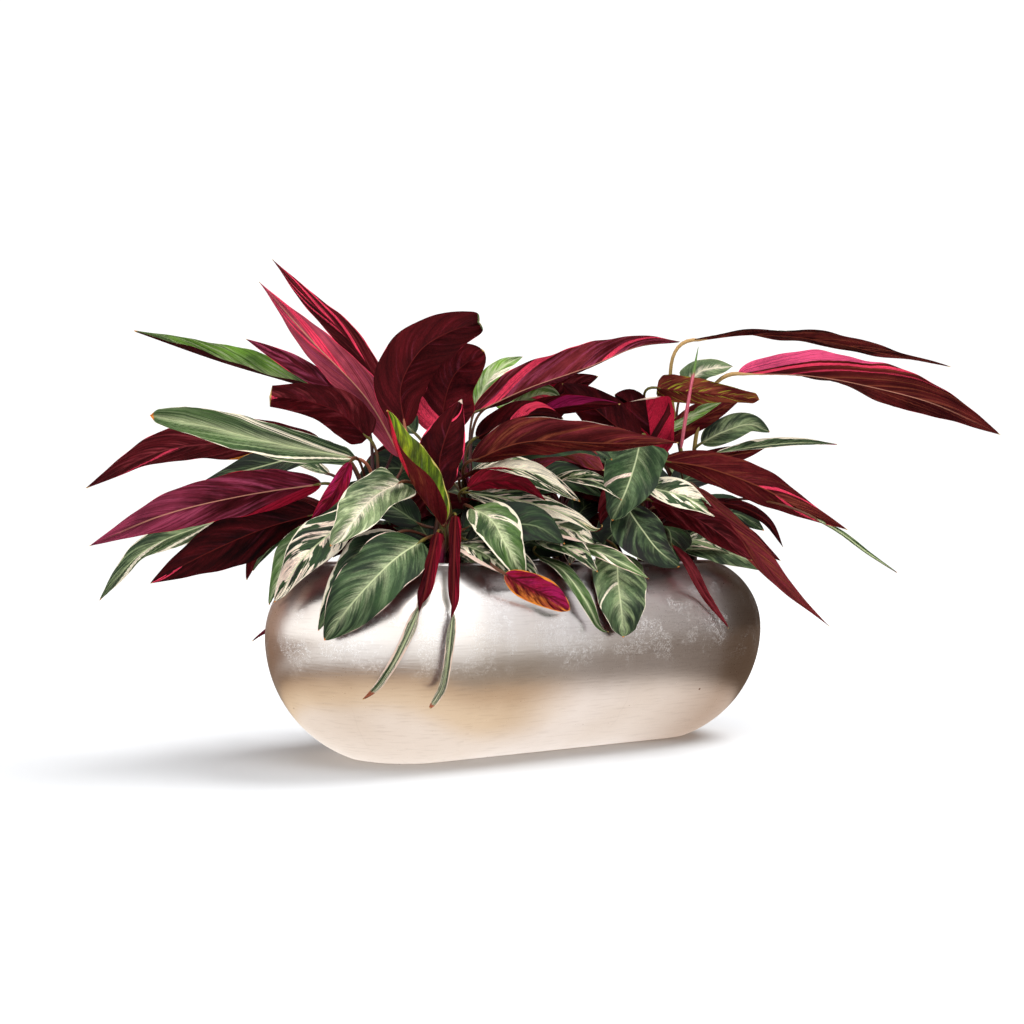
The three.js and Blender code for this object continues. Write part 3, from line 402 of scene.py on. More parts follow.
# Where a leaf differs from its CAD blade: "folds" (place along it, degrees of the left and the right half),
# "twist" and "hook" (start, end, degrees; a hook bends towards the upper side if positive), "shape" (place
# along it, half width as a share of the widest) and "sides", the widths of the left and the right half
# against the CAD's.
BENDS = {
    "leaf_left_4": {"shape": ((0, 0.4), (0.08, 0.85), (0.25, 1), (0.6, 0.82), (0.9, 0.58), (0.985, 0.5),
        (1, 0))},
    "leaf_left_5": {"shape": ((0, 0), (0.08, 0.5), (0.3, 0.92), (0.6, 1), (0.85, 0.8), (0.96, 0.4), (1, 0)),
        "sides": (0.92, 0.74)},
    "leaf_top_1": {"hook": (0.9, 1, -110)},
    "leaf_top_4": {"folds": ((0, 85, 55), (0.5, 62, 50), (1, 42, 45))},
    "leaf_front_3": {"shape": ((0, 0.75), (0.05, 0.95), (0.3, 1), (0.6, 0.82), (0.85, 0.42), (1, 0))},
    "leaf_front_4": {"twist": (0.6, 0.35, 170), "hook": (0.86, 1, 70), "sides": (1.1, 1.1),
        "shape": ((0, 0.7), (0.06, 1), (0.5, 0.85), (0.85, 0.6), (1, 0))},
    "leaf_front_5": {"twist": (0.65, 0.4, -170), "hook": (0.84, 1, 100), "sides": (1.0, 1.05),
        "shape": ((0, 0.6), (0.08, 1), (0.5, 0.85), (0.85, 0.6), (1, 0))},
    "leaf_front_7": {"hook": (0.8, 1, 60)},
    "leaf_front_8": {"twist": (0.6, 1, 70), "hook": (0.85, 1, 80)},
    "leaf_front_9": {"shape": ((0, 0.7), (0.1, 0.95), (0.4, 1), (0.7, 0.85), (0.9, 0.5), (1, 0))},
    "leaf_front_11": {"shape": ((0, 0.8), (0.08, 1), (0.4, 0.97), (0.65, 0.72), (0.85, 0.36), (1, 0)),
        "sides": (0.95, 1.05)},
    "leaf_front_12": {"sides": (0.8, 1.35)},
    "leaf_front_13": {"hook": (0.85, 1, 110)},
    "leaf_right_1": {"shape": ((0, 0.5), (0.2, 0.8), (0.7, 1), (0.93, 0.9), (1, 0.2))},
    "leaf_right_2": {"shape": ((0, 0.45), (0.05, 0.9), (0.14, 1), (0.4, 0.85), (0.75, 0.6), (0.94, 0.42),
        (1, 0.1))},
    "leaf_right_4": {"folds": ((0, 60, 8), (0.35, 50, 8), (0.6, 12, 8), (1, 8, 8)), "sides": (0.95, 1.1)},
    "small_end_pale": {"shape": ((0, 0.7), (0.1, 1), (0.5, 0.8), (1, 0.05))},
}


# ---- materials ----

class Level:
    """What a shader node gives: a number, place or colour that adds and multiplies as numbers do."""

    def __init__(self, paint, socket):
        self.paint = paint
        self.socket = socket

    def __add__(self, other):
        return self.paint.maths("ADD", self, other)

    def __radd__(self, other):
        return self.paint.maths("ADD", other, self)

    def __sub__(self, other):
        return self.paint.maths("SUBTRACT", self, other)

    def __rsub__(self, other):
        return self.paint.maths("SUBTRACT", other, self)

    def __mul__(self, other):
        return self.paint.maths("MULTIPLY", self, other)

    def __abs__(self):
        return self.paint.maths("ABSOLUTE", self)


class Paint:
    """One material, put together node by node. The name of a colour in COLOURS stands for that colour."""

    def __init__(self, name):
        self.material = bpy.data.materials.new(name)
        self.material.use_nodes = True
        self.nodes = self.material.node_tree.nodes
        self.nodes.clear()

    def feed(self, socket, value):
        if isinstance(value, Level):
            self.material.node_tree.links.new(value.socket, socket)
        else:
            socket.default_value = COLOURS[value] if isinstance(value, str) else value

    def node(self, kind, inputs, output=0, **settings):
        """Adds a node: its inputs by name or number, the output to take, and its settings."""
        made = self.nodes.new("ShaderNode" + kind)
        for key, value in settings.items():
            setattr(made, key, value)
        for key, value in inputs.items():
            self.feed(made.inputs[key], value)
        return Level(self, made.outputs[output])

    def maths(self, operation, *values):
        return self.node("Math", dict(enumerate(values)), operation=operation)

    def larger(self, first, second):
        return self.maths("MAXIMUM", first, second)

    def layer(self, name):
        """The three values that the mesh carries under that name."""
        found = self.node("Attribute", {}, "Vector", attribute_type="GEOMETRY", attribute_name=name)
        return self.parts(found)

    def place(self):
        return self.node("TexCoord", {}, "Object")

    def parts(self, vector):
        made = self.nodes.new("ShaderNodeSeparateXYZ")
        self.feed(made.inputs[0], vector)
        return [Level(self, output) for output in made.outputs]

    def vector(self, *values):
        return self.node("CombineXYZ", dict(enumerate(values)))

    def noise(self, vector, scale, detail=2.0, roughness=0.5, distortion=0.0):
        inputs = {"Vector": vector, "Scale": scale, "Detail": detail, "Roughness": roughness}
        return self.node("TexNoise", {**inputs, "Distortion": distortion})

    def step(self, value, low, high):
        """0 below low, 1 above high and a smooth rise between; falls instead when low is the larger."""
        inputs = {"Value": value, "From Min": low, "From Max": high}
        return self.node("MapRange", inputs, interpolation_type="SMOOTHSTEP")

    def mix(self, share, first, second):
        return self.node("Mix", {0: share, 6: first, 7: second}, 2, data_type="RGBA")

    def scale(self, colour, factor):
        return self.node("VectorMath", {0: colour, "Scale": factor}, operation="SCALE")

    def bump(self, height, distance, strength=1.0):
        return self.node("Bump", {"Height": height, "Distance": distance, "Strength": strength})

    def finish(self, kind="BsdfPrincipled", **inputs):
        """Closes the material with its shader."""
        shader = self.node(kind, {label.replace("_", " "): value for label, value in inputs.items()})
        self.feed(self.nodes.new("ShaderNodeOutputMaterial").inputs[0], shader)
        return self.material


def leaf_skin(name, look, sectors, length, seed, beneath):
    """One side of a leaf. Its pattern follows the side veins, which leave the midrib and slant to the tip."""
    paint = Paint(name)
    along, across, off_rib = paint.layer("leaf")
    out = abs(across)
    edge = paint.maths("SIGN", across)
    start = along - (out * 0.08 + look.get("slant", 0.22)) * out
    run = start * length
    place = along * length

    def streak(width, layer, reach=1.3):
        """Noise drawn out along the side veins, different in every layer and on either half."""
        spot = paint.vector(run * (1 / width), out * reach, edge * 3.7 + (seed + layer))
        return paint.noise(spot, 1.0, 2.5)

    # ground, with cloudy tints along the veins
    clouds = paint.noise(paint.vector(place * 0.02, across * 0.8, seed), 1.0, 3.0)
    cloud = paint.step(clouds * 0.6 + streak(16, 1.0) * 0.4, 0.36, 0.64)
    colour = paint.mix(cloud, *look["ground"])
    if "half" in look:
        side, tint = look["half"]
        there = paint.step(edge * side, 0.0, 0.1) * paint.step(streak(26, 5.0, 0.7), 0.3, 0.7)
        colour = paint.mix(there * paint.step(out, 0.05, 0.5), colour, tint)
    if "fade" in look:
        tint, low, high, strength = look["fade"]
        spread = paint.step(along + (streak(14, 6.0) - 0.5) * 0.5, low, high)
        colour = paint.mix(spread * strength, colour, tint)

    # feathering from the midrib
    tint, strength = look["feather"]
    feather = streak(3.5, 11.0, 0.8) * 1.5 + out * -1.6
    colour = paint.mix(paint.step(feather, 0.1, 0.8) * strength, colour, tint)

    # streaks along the side veins
    for number, (tint, share, width, soft) in enumerate(look["streaks"]):
        level = 0.5 + (0.5 - share) * 0.36
        mask = paint.step(streak(width, 20.0 + 7 * number), level - soft, level + soft)
        colour = paint.mix(mask, colour, tint)

    # sectors of another colour between two side veins
    here = start + (streak(5, 50.0, 2.5) - 0.5) * 0.05
    for side, low, high, *special in sectors:
        mask = paint.step(here, low - 0.004, low + 0.004) * paint.step(here, high + 0.004, high - 0.004)
        mask = mask * paint.step(edge * side, 0.0, 0.1) * paint.step(streak(4, 60.0), 0.3, 0.36)
        colour = paint.mix(mask, colour, special[0] if special else look["sector"])

    # soft pleats painted in light and shade: a painted highlight near the midrib (a painted sheen beneath)
    # and painted shade elsewhere, with faint fine veins, then a fine mottle
    pleats = streak(7.0, 90.0, 0.6)
    pale, pleat_highlight_share, dark = ("rose_plum", 0.14, "night") if beneath else ("feather", 0.2, "deep")
    colour = paint.mix(paint.step(pleats, 0.55, 0.72) * paint.step(out, 0.9, 0.1) * pleat_highlight_share, colour, pale)
    # painted shade between the pleats; the same dark colour draws the faint fine veins
    colour = paint.mix(paint.step(pleats, 0.54, 0.3) * 0.55, colour, dark)
    vein = paint.maths("SINE", run * 2.6 + clouds * 14.0)
    colour = paint.mix(paint.step(vein, 0.2, 1.0) * 0.05, colour, dark)
    spot = paint.vector(run * 0.5, off_rib * 0.28, seed)
    mottle = paint.noise(spot, 1.6, 2.0, 0.7) + clouds * 0.5
    colour = paint.scale(colour, paint.step(mottle, 0.5, 1.0) * 0.9 + 0.6)

    # margin, of uneven width
    tint, width = look["margin"]
    uneven = paint.noise(paint.vector(place * 0.035, edge * 2.0, seed + 80), 1.0, 2.0)
    inner = 1.01 - paint.step(uneven, 0.3, 0.75) * (2 * width)
    colour = paint.mix(paint.step(out, inner, inner + 0.02), colour, tint)

    # midrib, and the dry tip
    rib = paint.step(off_rib, 0.7, 0.3) if beneath else paint.step(off_rib, 1.3, 0.5)
    colour = paint.mix(rib * 0.85 * paint.step(along, 0.98, 0.6), colour, look["rib"])
    tint, first = look.get("tip", ("straw" if beneath else "orange", 0.985))
    colour = paint.mix(paint.step(along + (uneven - 0.5) * 0.05, first, first + 0.012), colour, tint)

    relief = vein * 0.1 + pleats * 2.5 + paint.noise(spot, 2.0, 3.0) * 0.9
    roughness, specular = (0.6, 0.03) if beneath else (0.4, 0.12)
    return paint.finish(Base_Color=colour, Roughness=roughness, Specular_IOR_Level=specular,
                        Normal=paint.bump(relief, 0.0006, 0.6))


METAL_SHEET = 0.11  # metres, the side of a sheet of leaf metal


def silver_skin():
    """Leaf metal in square sheets: finely brushed, crinkled, scratched above the belly, with a few specks."""
    paint = Paint("silver_leaf")
    round_way, upright, _ = paint.layer("wrap")
    where = paint.place()
    stray = (paint.noise(where, 24.0, 3.0) - 0.5) * 0.014
    columns = paint.maths("FRACT", (round_way + stray) * (1 / METAL_SHEET))
    rows = paint.maths("FRACT", (upright + stray + 0.093) * (1 / METAL_SHEET))
    seam = paint.larger(paint.step(columns, 0.025, 0.0), paint.step(rows, 0.025, 0.0))
    seam = seam * paint.step(paint.noise(where, 14.0, 2.0), 0.45, 0.65)
    line = paint.step(abs(paint.noise(where, 115.0, 4.0, 0.65, 1.6) - 0.5), 0.02, 0.0)
    at_belly = paint.step(upright, 0.1, 0.12) * paint.step(upright, 0.165, 0.145)
    patches = paint.step(paint.noise(where, 26.0, 3.0) + at_belly * 0.04, 0.5, 0.58)
    scratches = line * (patches * paint.larger(paint.step(upright, 0.1, 0.13), 0.08))
    brushed = paint.noise(paint.vector(round_way * 30.0, upright * 420.0, 0.0), 1.0, 3.0)
    base = paint.mix(paint.step(paint.noise(where, 6.0, 3.0), 0.35, 0.65), "silver", "warm_silver")
    base = paint.mix(paint.step(brushed, 0.5, 0.3) * 0.16, base, "dull_silver")
    base = paint.mix(seam * 0.12, base, "dull_silver")
    base = paint.mix(scratches * 0.6, base, WHITE)
    base = paint.mix(paint.step(paint.noise(where, 150.0, 1.0), 0.8, 0.82), base, "speck")
    rough = 0.25 + paint.noise(where, 520.0, 2.0) * 0.08 + scratches * 0.2
    crinkle = paint.noise(where, 60.0, 4.0, 0.62)
    relief = crinkle * 0.3 + brushed * 0.3 + scratches * 0.1 + seam * 0.08
    return paint.finish(Base_Color=base, Metallic=1.0, Roughness=rough,
                        Normal=paint.bump(relief, 0.0009, 0.4))


def soil_skin():
    paint = Paint("potting_soil")
    where = paint.place()
    colour = paint.mix(paint.step(paint.noise(where, 90.0, 4.0, 0.6), 0.35, 0.65), "wet_soil", "soil")
    return paint.finish(Base_Color=colour, Roughness=0.95,
                        Normal=paint.bump(paint.noise(where, 500.0, 4.0, 0.7), 0.002, 0.8))


def chip_skin(name):
    paint = Paint(name)
    grain = paint.noise(paint.place(), 240.0, 3.0)
    colour = paint.mix(paint.step(grain, 0.35, 0.65), "dark_" + name, name)
    return paint.finish(Base_Color=colour, Roughness=0.9, Normal=paint.bump(grain, 0.001, 0.6))


# Kinds of stalk that have a colour of their own; the other tubes of a shoot have smaller numbers.
COPPER_STALK = 60.0
TAN_STALK = 120.0


def stalk_skin():
    """Stems and stalks: dark red at the foot, copper or olive further up, with fine lengthwise lines."""
    paint = Paint("stems")
    along, around, which = paint.layer("stalk")
    lines = paint.noise(paint.vector(along * 3.0, around * 9.0, which), 1.0, 3.0)
    cloud = paint.noise(paint.vector(along * 4.0, which, 0.5), 1.0, 2.0)
    kind = paint.noise(paint.vector(which, 2.5, 1.5), 3.0, 0.0)
    low = paint.mix(paint.step(kind, 0.52, 0.66), "maroon", "magenta")
    high = paint.mix(paint.step(kind, 0.45, 0.55), "brown_stalk", "olive_stalk")
    colour = paint.mix(paint.step(along + (cloud - 0.5) * 0.8, 0.3, 0.9), low, high)
    colour = paint.mix(paint.step(lines, 0.48, 0.66) * 0.7, colour, "night")
    colour = paint.mix(paint.step(which, COPPER_STALK - 1, COPPER_STALK), colour, "copper")
    tan = paint.mix(along, "moss_stalk", "tan_stalk")
    colour = paint.mix(paint.step(which, TAN_STALK - 1, TAN_STALK), colour, tan)
    return paint.finish(Base_Color=colour, Roughness=0.4, Specular_IOR_Level=0.25,
                        Normal=paint.bump(lines, 0.0006, 0.5))


def rolled_skin():
    """The pink shaft and the green tip of a leaf that is still rolled up."""
    paint = Paint("rolled_leaf")
    along, around, _ = paint.layer("leaf")
    lines = paint.noise(paint.vector(along * 2.0, around * 6.0, 3.0), 1.0, 3.0)
    shaft = paint.mix(paint.step(lines, 0.4, 0.6), "light_shaft", "dark_shaft")
    tip = paint.mix(lines, "bright", "forest")
    colour = paint.mix(paint.step(along + lines * 0.1, 0.74, 0.8), shaft, tip)
    return paint.finish(Base_Color=colour, Roughness=0.45, Normal=paint.bump(lines, 0.0004, 0.5))


# ---- meshes ----

def add_mesh(name, points, faces, materials):
    mesh = bpy.data.meshes.new(name)
    mesh.from_pydata([tuple(p) for p in points], [], faces)
    for material in materials:
        mesh.materials.append(material)
    return add_object(name, mesh)


def add_object(name, data):
    made = bpy.data.objects.new(name, data)
    bpy.context.scene.collection.objects.link(made)
    return made


def add_layer(mesh, name, domain, values):
    """Stores three values for each point or corner, which a material reads by name."""
    layer = mesh.attributes.new(name, "FLOAT_VECTOR", domain)
    layer.data.foreach_set("vector", np.asarray(values, np.float32).ravel())


def make_piece(name, points, faces, materials, node=None, slots=None, sharp=None):
    """A piece in metres that rides on the frame, with its faces' material slots and the CAD node it replaces.
    """
    piece = add_mesh(name, points, faces, materials)
    mesh = piece.data
    if slots is not None:
        mesh.polygons.foreach_set("material_index", slots)
    mesh.polygons.foreach_set("use_smooth", [True] * len(mesh.polygons))
    mesh.update()
    if sharp is not None:
        mesh.set_sharp_from_angle(angle=math.radians(sharp))
    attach(piece, ROOT)
    if node:
        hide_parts(node)
    return mesh


def unit(vectors):
    return vectors / np.maximum(np.linalg.norm(vectors, axis=-1, keepdims=True), 1e-12)


def midrib(spine):
    """The smooth curve through a leaf's spine: its length and a function giving place and direction."""
    knots = np.array(spine, float)
    knots = np.vstack([2 * knots[0] - knots[1], knots, 2 * knots[-1] - knots[-2]])
    share = np.linspace(0, 1, 80, endpoint=False)[:, None]
    pieces = []
    for a, b, c, d in zip(knots, knots[1:], knots[2:], knots[3:]):
        cubic = (2 * b + (c - a) * share + (2 * a - 5 * b + 4 * c - d) * share ** 2
                 + (3 * b - a - 3 * c + d) * share ** 3)
        pieces.append(cubic / 2)
    curve = np.vstack(pieces + [knots[-2:-1]])
    run = np.concatenate([[0], np.cumsum(np.linalg.norm(np.diff(curve, axis=0), axis=1))])
    slopes = np.gradient(curve, run, axis=0)

    def at(shares):
        places, ways = (np.stack([np.interp(shares * run[-1], run, column) for column in table.T], 1)
                        for table in (curve, slopes))
        return places, unit(ways)

    return run[-1], at


def smooth_step(value, low, high):
    share = np.clip((value - low) / (high - low), 0, 1)
    return share * share * (3 - 2 * share)


def smooth_through(places, spots, values):
    """A curve through a few values: straight, but for a round start and a round end that comes down to 0."""
    spots, values = np.array(spots, float), np.array(values, float)
    index = np.clip(np.searchsorted(spots, places, side="right") - 1, 0, len(spots) - 2)
    share = np.clip((places - spots[index]) / (spots[index + 1] - spots[index]), 0, 1)
    rise = values[index + 1] - values[index]
    inner = values[index] + rise * share
    start = values[index] + rise * np.sin(share * np.pi / 2)
    end = values[index] * np.cos(share * np.pi / 2)
    return np.where(index == 0, start, np.where(index == len(spots) - 2, end, inner))


def turn(vectors, axes, angles):
    """Turns each vector round its axis."""
    cosine = np.cos(angles)[:, None]
    sine = np.sin(angles)[:, None]
    return (vectors * cosine + np.cross(axes, vectors) * sine
            + axes * np.sum(axes * vectors, 1, keepdims=True) * (1 - cosine))


# How many points lie across a blade, and the millimetres between its rows.
FINE_GRID = (25, 2.9)
MIDDLE_GRID = (17, 4.2)
COARSE_GRID = (13, 6.0)
CAMBER = math.radians(13)  # how far each half arches
RIB_PITCH = 12.0  # millimetres between the broad ribs of a blade
WIDEST = 0.4  # where along a blade it is widest


def bent_midrib(leaf, bend, along, rng):
    """Each row's place on the midrib, its way to the tip and its upper side, after the hook and the twist."""
    length, at = midrib(leaf.spine)
    rib, forward = at(along)
    facing = np.array(leaf.face, float)
    up = unit(facing - forward * (forward @ facing)[:, None])
    if "hook" in bend:
        first, last, degrees = bend["hook"]
        right = np.cross(forward, up)
        angles = math.radians(degrees) * np.clip((along - first) / (last - first), 0, 1)
        forward = turn(forward, right, angles)
        up = turn(up, right, angles)
        bent = np.cumsum(np.diff(along, prepend=along[0])[:, None] * length * forward, 0)
        from_here = np.searchsorted(along, first)
        rib = np.where((along > first)[:, None], bent + (rib[from_here] - bent[from_here]), rib)
    if "twist" in bend:
        first, last, degrees = bend["twist"]
        up = turn(up, forward, math.radians(degrees) * smooth_step(along, first, last))
    roll = np.radians(9) * np.sin(along * rng.uniform(3, 6) + rng.uniform(0, 6))
    up = turn(up, forward, roll * np.sin(np.pi * along))
    sway = leaf.width * 0.025 * np.sin(along * 7 + rng.uniform(0, 6)) * np.sin(np.pi * along)
    return rib + up * sway[:, None], forward, up


def half_widths(leaf, bend, along):
    if "shape" in bend:
        return leaf.width / 2 * smooth_through(along, *zip(*bend["shape"]))
    skew = math.log(0.5) / math.log(WIDEST)
    return leaf.width / 2 * np.sin(np.pi * along ** skew) ** np.where(along < WIDEST, 0.7, leaf.tip)


def blade_points(leaf, bend, rng, grid):
    """A blade's upper and lower surface in millimetres, and the leaf coordinates of their points."""
    length = midrib(leaf.spine)[0]
    columns, step = grid
    count = int(np.clip(length / step, 20, 124))
    even = np.linspace(0, 1, count)
    along = 0.003 + 0.994 * (0.5 * even + 0.25 * (1 - np.cos(np.pi * even)))
    rib, forward, up = bent_midrib(leaf, bend, along, rng)
    right = np.cross(forward, up)
    half = half_widths(leaf, bend, along)
    uneven = 0.035 * np.sin(along * length / 19 + rng.uniform(0, 6)) + 0.02 * np.sin(along * length / 7)
    even = np.linspace(-1, 1, columns)
    across = np.sign(even) * np.abs(even) ** 1.3
    out = np.abs(across)

    # the slope of each half runs from a little over half the fold at the rib to rather more at the margin
    fine = np.linspace(0, 1, 33)
    folds = bend.get("folds", ((0, *leaf.folds), (1, *leaf.folds)))
    spots, *both_folds = zip(*folds)
    surface = np.zeros((count, columns, 3))
    for side, size, fold in zip((-1, 1), bend.get("sides", (1, 1)), both_folds):
        fold = np.radians(np.interp(along, spots, fold))
        slope = fold[:, None] * (0.6 + 0.8 * fine) + CAMBER * (1 - 2 * fine)
        middle = (slope[:, 1:] + slope[:, :-1]) / 2
        start = np.zeros((count, 1))
        sideways, upwards = (np.concatenate([start, np.cumsum(part(middle) / 32, 1)], 1)
                             for part in (np.cos, np.sin))
        for column in np.nonzero(across > 0 if side > 0 else across <= 0)[0]:
            reach = half * (1 + uneven * out[column]) * size
            aside = np.array([np.interp(out[column], fine, row) for row in sideways]) * reach * side
            rise = np.array([np.interp(out[column], fine, row) for row in upwards]) * reach
            surface[:, column] = rib + right * aside[:, None] + up * rise[:, None]

    # broad ribs along the side veins, ripples towards the margins and a groove over the midrib
    off_rib = out * half[:, None]
    phases = rng.uniform(0, 6, 4)
    veins = (along[:, None] - (0.22 + 0.08 * out) * out) * length / RIB_PITCH
    ribs = 0.5 * np.sin(2 * np.pi * veins + phases[0] + np.where(across < 0, 0.0, 2.1))
    ribs = ribs * np.sin(np.pi * out) * np.clip(half / 14, 0.2, 1)[:, None]
    run = (along * length)[:, None]
    left_ripple = np.sin(run / 13 + phases[1]) + 0.7 * np.sin(run / 23 + phases[2])
    right_ripple = np.sin(run / 15 + phases[3]) + 0.7 * np.sin(run / 27)
    ripple = np.where(across < 0, left_ripple, right_ripple) * out ** 3 * 0.06 * half[:, None]
    groove = -0.45 * np.exp(-(off_rib / 1.3) ** 2)

    normals = unit(np.cross(np.gradient(surface, axis=1), np.gradient(surface, axis=0)))
    normals = normals * np.sign(np.sum(normals[:, columns // 2] * up, 1))[:, None, None]
    surface = surface + normals * (ribs + ripple + groove)[:, :, None]
    thick = 0.3 + 0.5 * np.exp(-(off_rib / 6) ** 2)
    ridge = 0.9 * np.exp(-(off_rib / 1.1) ** 2) * np.clip(1.15 - along, 0.1, 1)[:, None]
    lower = surface - normals * (thick + ridge)[:, :, None]
    coordinates = np.stack([*np.broadcast_arrays(along[:, None], across), off_rib], 2)
    base, apex = rib[0] - forward[0] * 0.003 * length, rib[-1] + forward[-1] * 0.006 * length
    return surface, lower, coordinates, base, apex


def blade_mesh(leaf, bend, rng, grid):
    """Closes the two surfaces at the margins, the base and the tip: points, coordinates, faces and skins."""
    upper, lower, coordinates, base, apex = blade_points(leaf, bend, rng, grid)
    count, columns, _ = upper.shape
    inner = columns - 2
    points = np.vstack([upper.reshape(-1, 3), lower[:, 1:-1].reshape(-1, 3), base, apex])
    layer = np.vstack([coordinates.reshape(-1, 3), coordinates[:, 1:-1].reshape(-1, 3), (0, 0, 0), (1, 0, 0)])
    base_point, apex_point = len(points) - 2, len(points) - 1

    def top(row, column):
        return row * columns + column

    def bottom(row, column):
        if column in (0, columns - 1):
            return top(row, column)
        return count * columns + row * inner + column - 1

    faces, slots = [], []
    last = count - 1
    for left in range(columns - 1):
        right = left + 1
        for row in range(last):
            below = row + 1
            faces.append((top(row, left), top(row, right), top(below, right), top(below, left)))
            faces.append((bottom(row, left), bottom(below, left), bottom(below, right), bottom(row, right)))
        faces += [(base_point, top(0, right), top(0, left)), (apex_point, top(last, left), top(last, right)),
                  (base_point, bottom(0, left), bottom(0, right)),
                  (apex_point, bottom(last, right), bottom(last, left))]
        slots += [0, 1] * last + [0, 0, 1, 1]
    return points, layer, faces, slots


def ring_quad(low, side, sides):
    """The face between two closed rings of points, the first of which starts at low."""
    after = (side + 1) % sides
    return low + side, low + after, low + sides + after, low + sides + side


def tube_faces(rings, sides):
    """The faces of a closed tube: between its rings, and to a point at each end, after the rings' points."""
    last = (rings - 1) * sides
    faces = []
    for side in range(sides):
        after = (side + 1) % sides
        faces += [ring_quad(low, side, sides) for low in range(0, last, sides)]
        faces += [(rings * sides, after, side), (rings * sides + 1, last + side, last + after)]
    return faces


def bowl_faces(rings, sides):
    """The faces between rings of points, and one flat face at either end."""
    last = (rings - 1) * sides
    faces = [ring_quad(low, side, sides) for low in range(0, last, sides) for side in range(sides)]
    return faces + [tuple(reversed(range(sides))), tuple(range(last, last + sides))]


def tube(route, radii, sides, which, ridges=0):
    """A closed round tube along a route: points, faces, and for each point (along, around, which tube)."""
    count = len(route)
    forward = unit(np.gradient(route, axis=0))
    side_way = np.zeros_like(route)
    reference = np.array((0.0, 1.0, 0.0)) if abs(forward[0][1]) < 0.8 else np.array((1.0, 0.0, 0.0))
    for row in range(count):
        reference = unit(reference - forward[row] * (reference @ forward[row]))
        side_way[row] = reference
    angles = np.arange(sides)[:, None] / sides * 2 * np.pi
    circle = side_way[:, None] * np.cos(angles) + np.cross(forward, side_way)[:, None] * np.sin(angles)
    swell = 1 + 0.07 * np.cos(angles * ridges) * (ridges > 0)
    rings = route[:, None] + circle * (np.asarray(radii)[:, None, None] * swell)
    points = np.vstack([rings.reshape(-1, 3), route[:1], route[-1:]])
    around = np.abs(np.linspace(-1, 1, sides, endpoint=False))
    layer = [(s, a, which) for s in np.linspace(0, 1, count) for a in around] + [(0, 0, which), (1, 0, which)]
    return points, layer, tube_faces(count, sides)


def gather(parts):
    """Joins several parts, each of them points, layer, faces and perhaps slots, into one of each."""
    shift, faces = 0, []
    for part in parts:
        faces += [tuple(corner + shift for corner in face) for face in part[2]]
        shift += len(part[0])
    slots = [slot for part in parts for more in part[3:] for slot in more]
    return np.vstack([part[0] for part in parts]), np.vstack([part[1] for part in parts]), faces, slots


def bezier(start, first, second, end, steps):
    share = np.linspace(0, 1, steps)[:, None]
    return ((1 - share) ** 3 * start + 3 * (1 - share) ** 2 * share * first
            + 3 * (1 - share) * share ** 2 * second + share ** 3 * end)


def stalk_tube(leaf, which, stout):
    """A leaf stalk: from its shoot to the blade, then a little way beneath the midrib."""
    foot, crown, _ = shoot_line(leaf.shoot, 0.3)
    places, ways = midrib(leaf.spine)[1](np.array([0.0, 0.02, 0.045, 0.07, 0.1]))
    facing = np.array(leaf.face, float)
    up = unit(facing - ways * (ways @ facing)[:, None])
    start = foot + (crown - foot) * leaf.height
    end = places[0]
    pull = 0.3 * np.linalg.norm(end - start)
    route = bezier(start, start + unit(crown - foot) * pull, end - ways[0] * pull, end - ways[0] * 0.3, 24)
    route = np.vstack([route, places[1:] - up[1:]])
    share = np.linspace(0, 1, len(route))
    radii = 2.5 - 0.9 * share + 0.35 * np.exp(-((share - 0.8) / 0.06) ** 2)
    radii = radii * np.clip((1.03 - share) / 0.16, 0.2, 1) * stout * min(1.0, 0.72 + leaf.width / 240)
    return tube(route, radii, 10, which)


def shoot_line(name, foot_rise):
    """A shoot's foot, so far above the soil, its crown and its foot's radius, in millimetres."""
    (x, y), crown, radius = SHOOTS[name]
    return np.array((x, y, SOIL_TOP / MM + foot_rise)), np.array(crown, float), radius


def shoot_piece(name, leaves, skin):
    """A shoot: its stem, the sheaths of outer leaf stalks that lean against it, and the stalks."""
    foot, crown, radius = shoot_line(name, -4.0)
    share = np.linspace(0, 1, 30)
    radii = radius * np.interp(share, (0, 0.08, 0.35, 0.7, 1), (1.12, 1, 0.85, 0.7, 0.35))
    parts = [tube(foot + (crown - foot) * share[:, None], radii, 24, 0.0, ridges=5)]
    rng = np.random.default_rng(sum(map(ord, name)))
    share = np.linspace(0, 1, 18)
    radii = radius * np.interp(share, (0, 0.15, 0.7, 1), (0.62, 0.56, 0.4, 0.14))
    for number in range(7 if name == "front" else 5):
        angle = 2.4 * number + rng.uniform(0, 1)
        away = np.array((math.cos(angle), math.sin(angle), 0.0)) * radius
        low = foot + away * rng.uniform(1.3, 1.9)
        high = foot + (crown - foot) * rng.uniform(0.55, 1.0) + away * rng.uniform(0.3, 0.8)
        route = bezier(low, low + (0, 0, 25), high - (0, 0, 25), high, 18)
        parts.append(tube(route, radii, 12, number * 1.7 + 0.3, ridges=3))
    for number, leaf in enumerate(leaves):
        if leaf in (LEAVES["leaf_right_3"], LEAVES["leaf_right_4"]):
            parts.append(stalk_tube(leaf, TAN_STALK, 1.35))
        elif leaf in (LEAVES["leaf_top_1"], LEAVES["leaf_left_5"]):
            parts.append(stalk_tube(leaf, COPPER_STALK, 1.1))
        else:
            parts.append(stalk_tube(leaf, number * 0.37 + 0.5, 1.0))
    points, layer, faces, _ = gather(parts)
    mesh = make_piece("stems_" + name, points * MM, faces, [skin], "shoot_" + name, sharp=70)
    add_layer(mesh, "stalk", "POINT", layer)


# ---- planter and soil ----

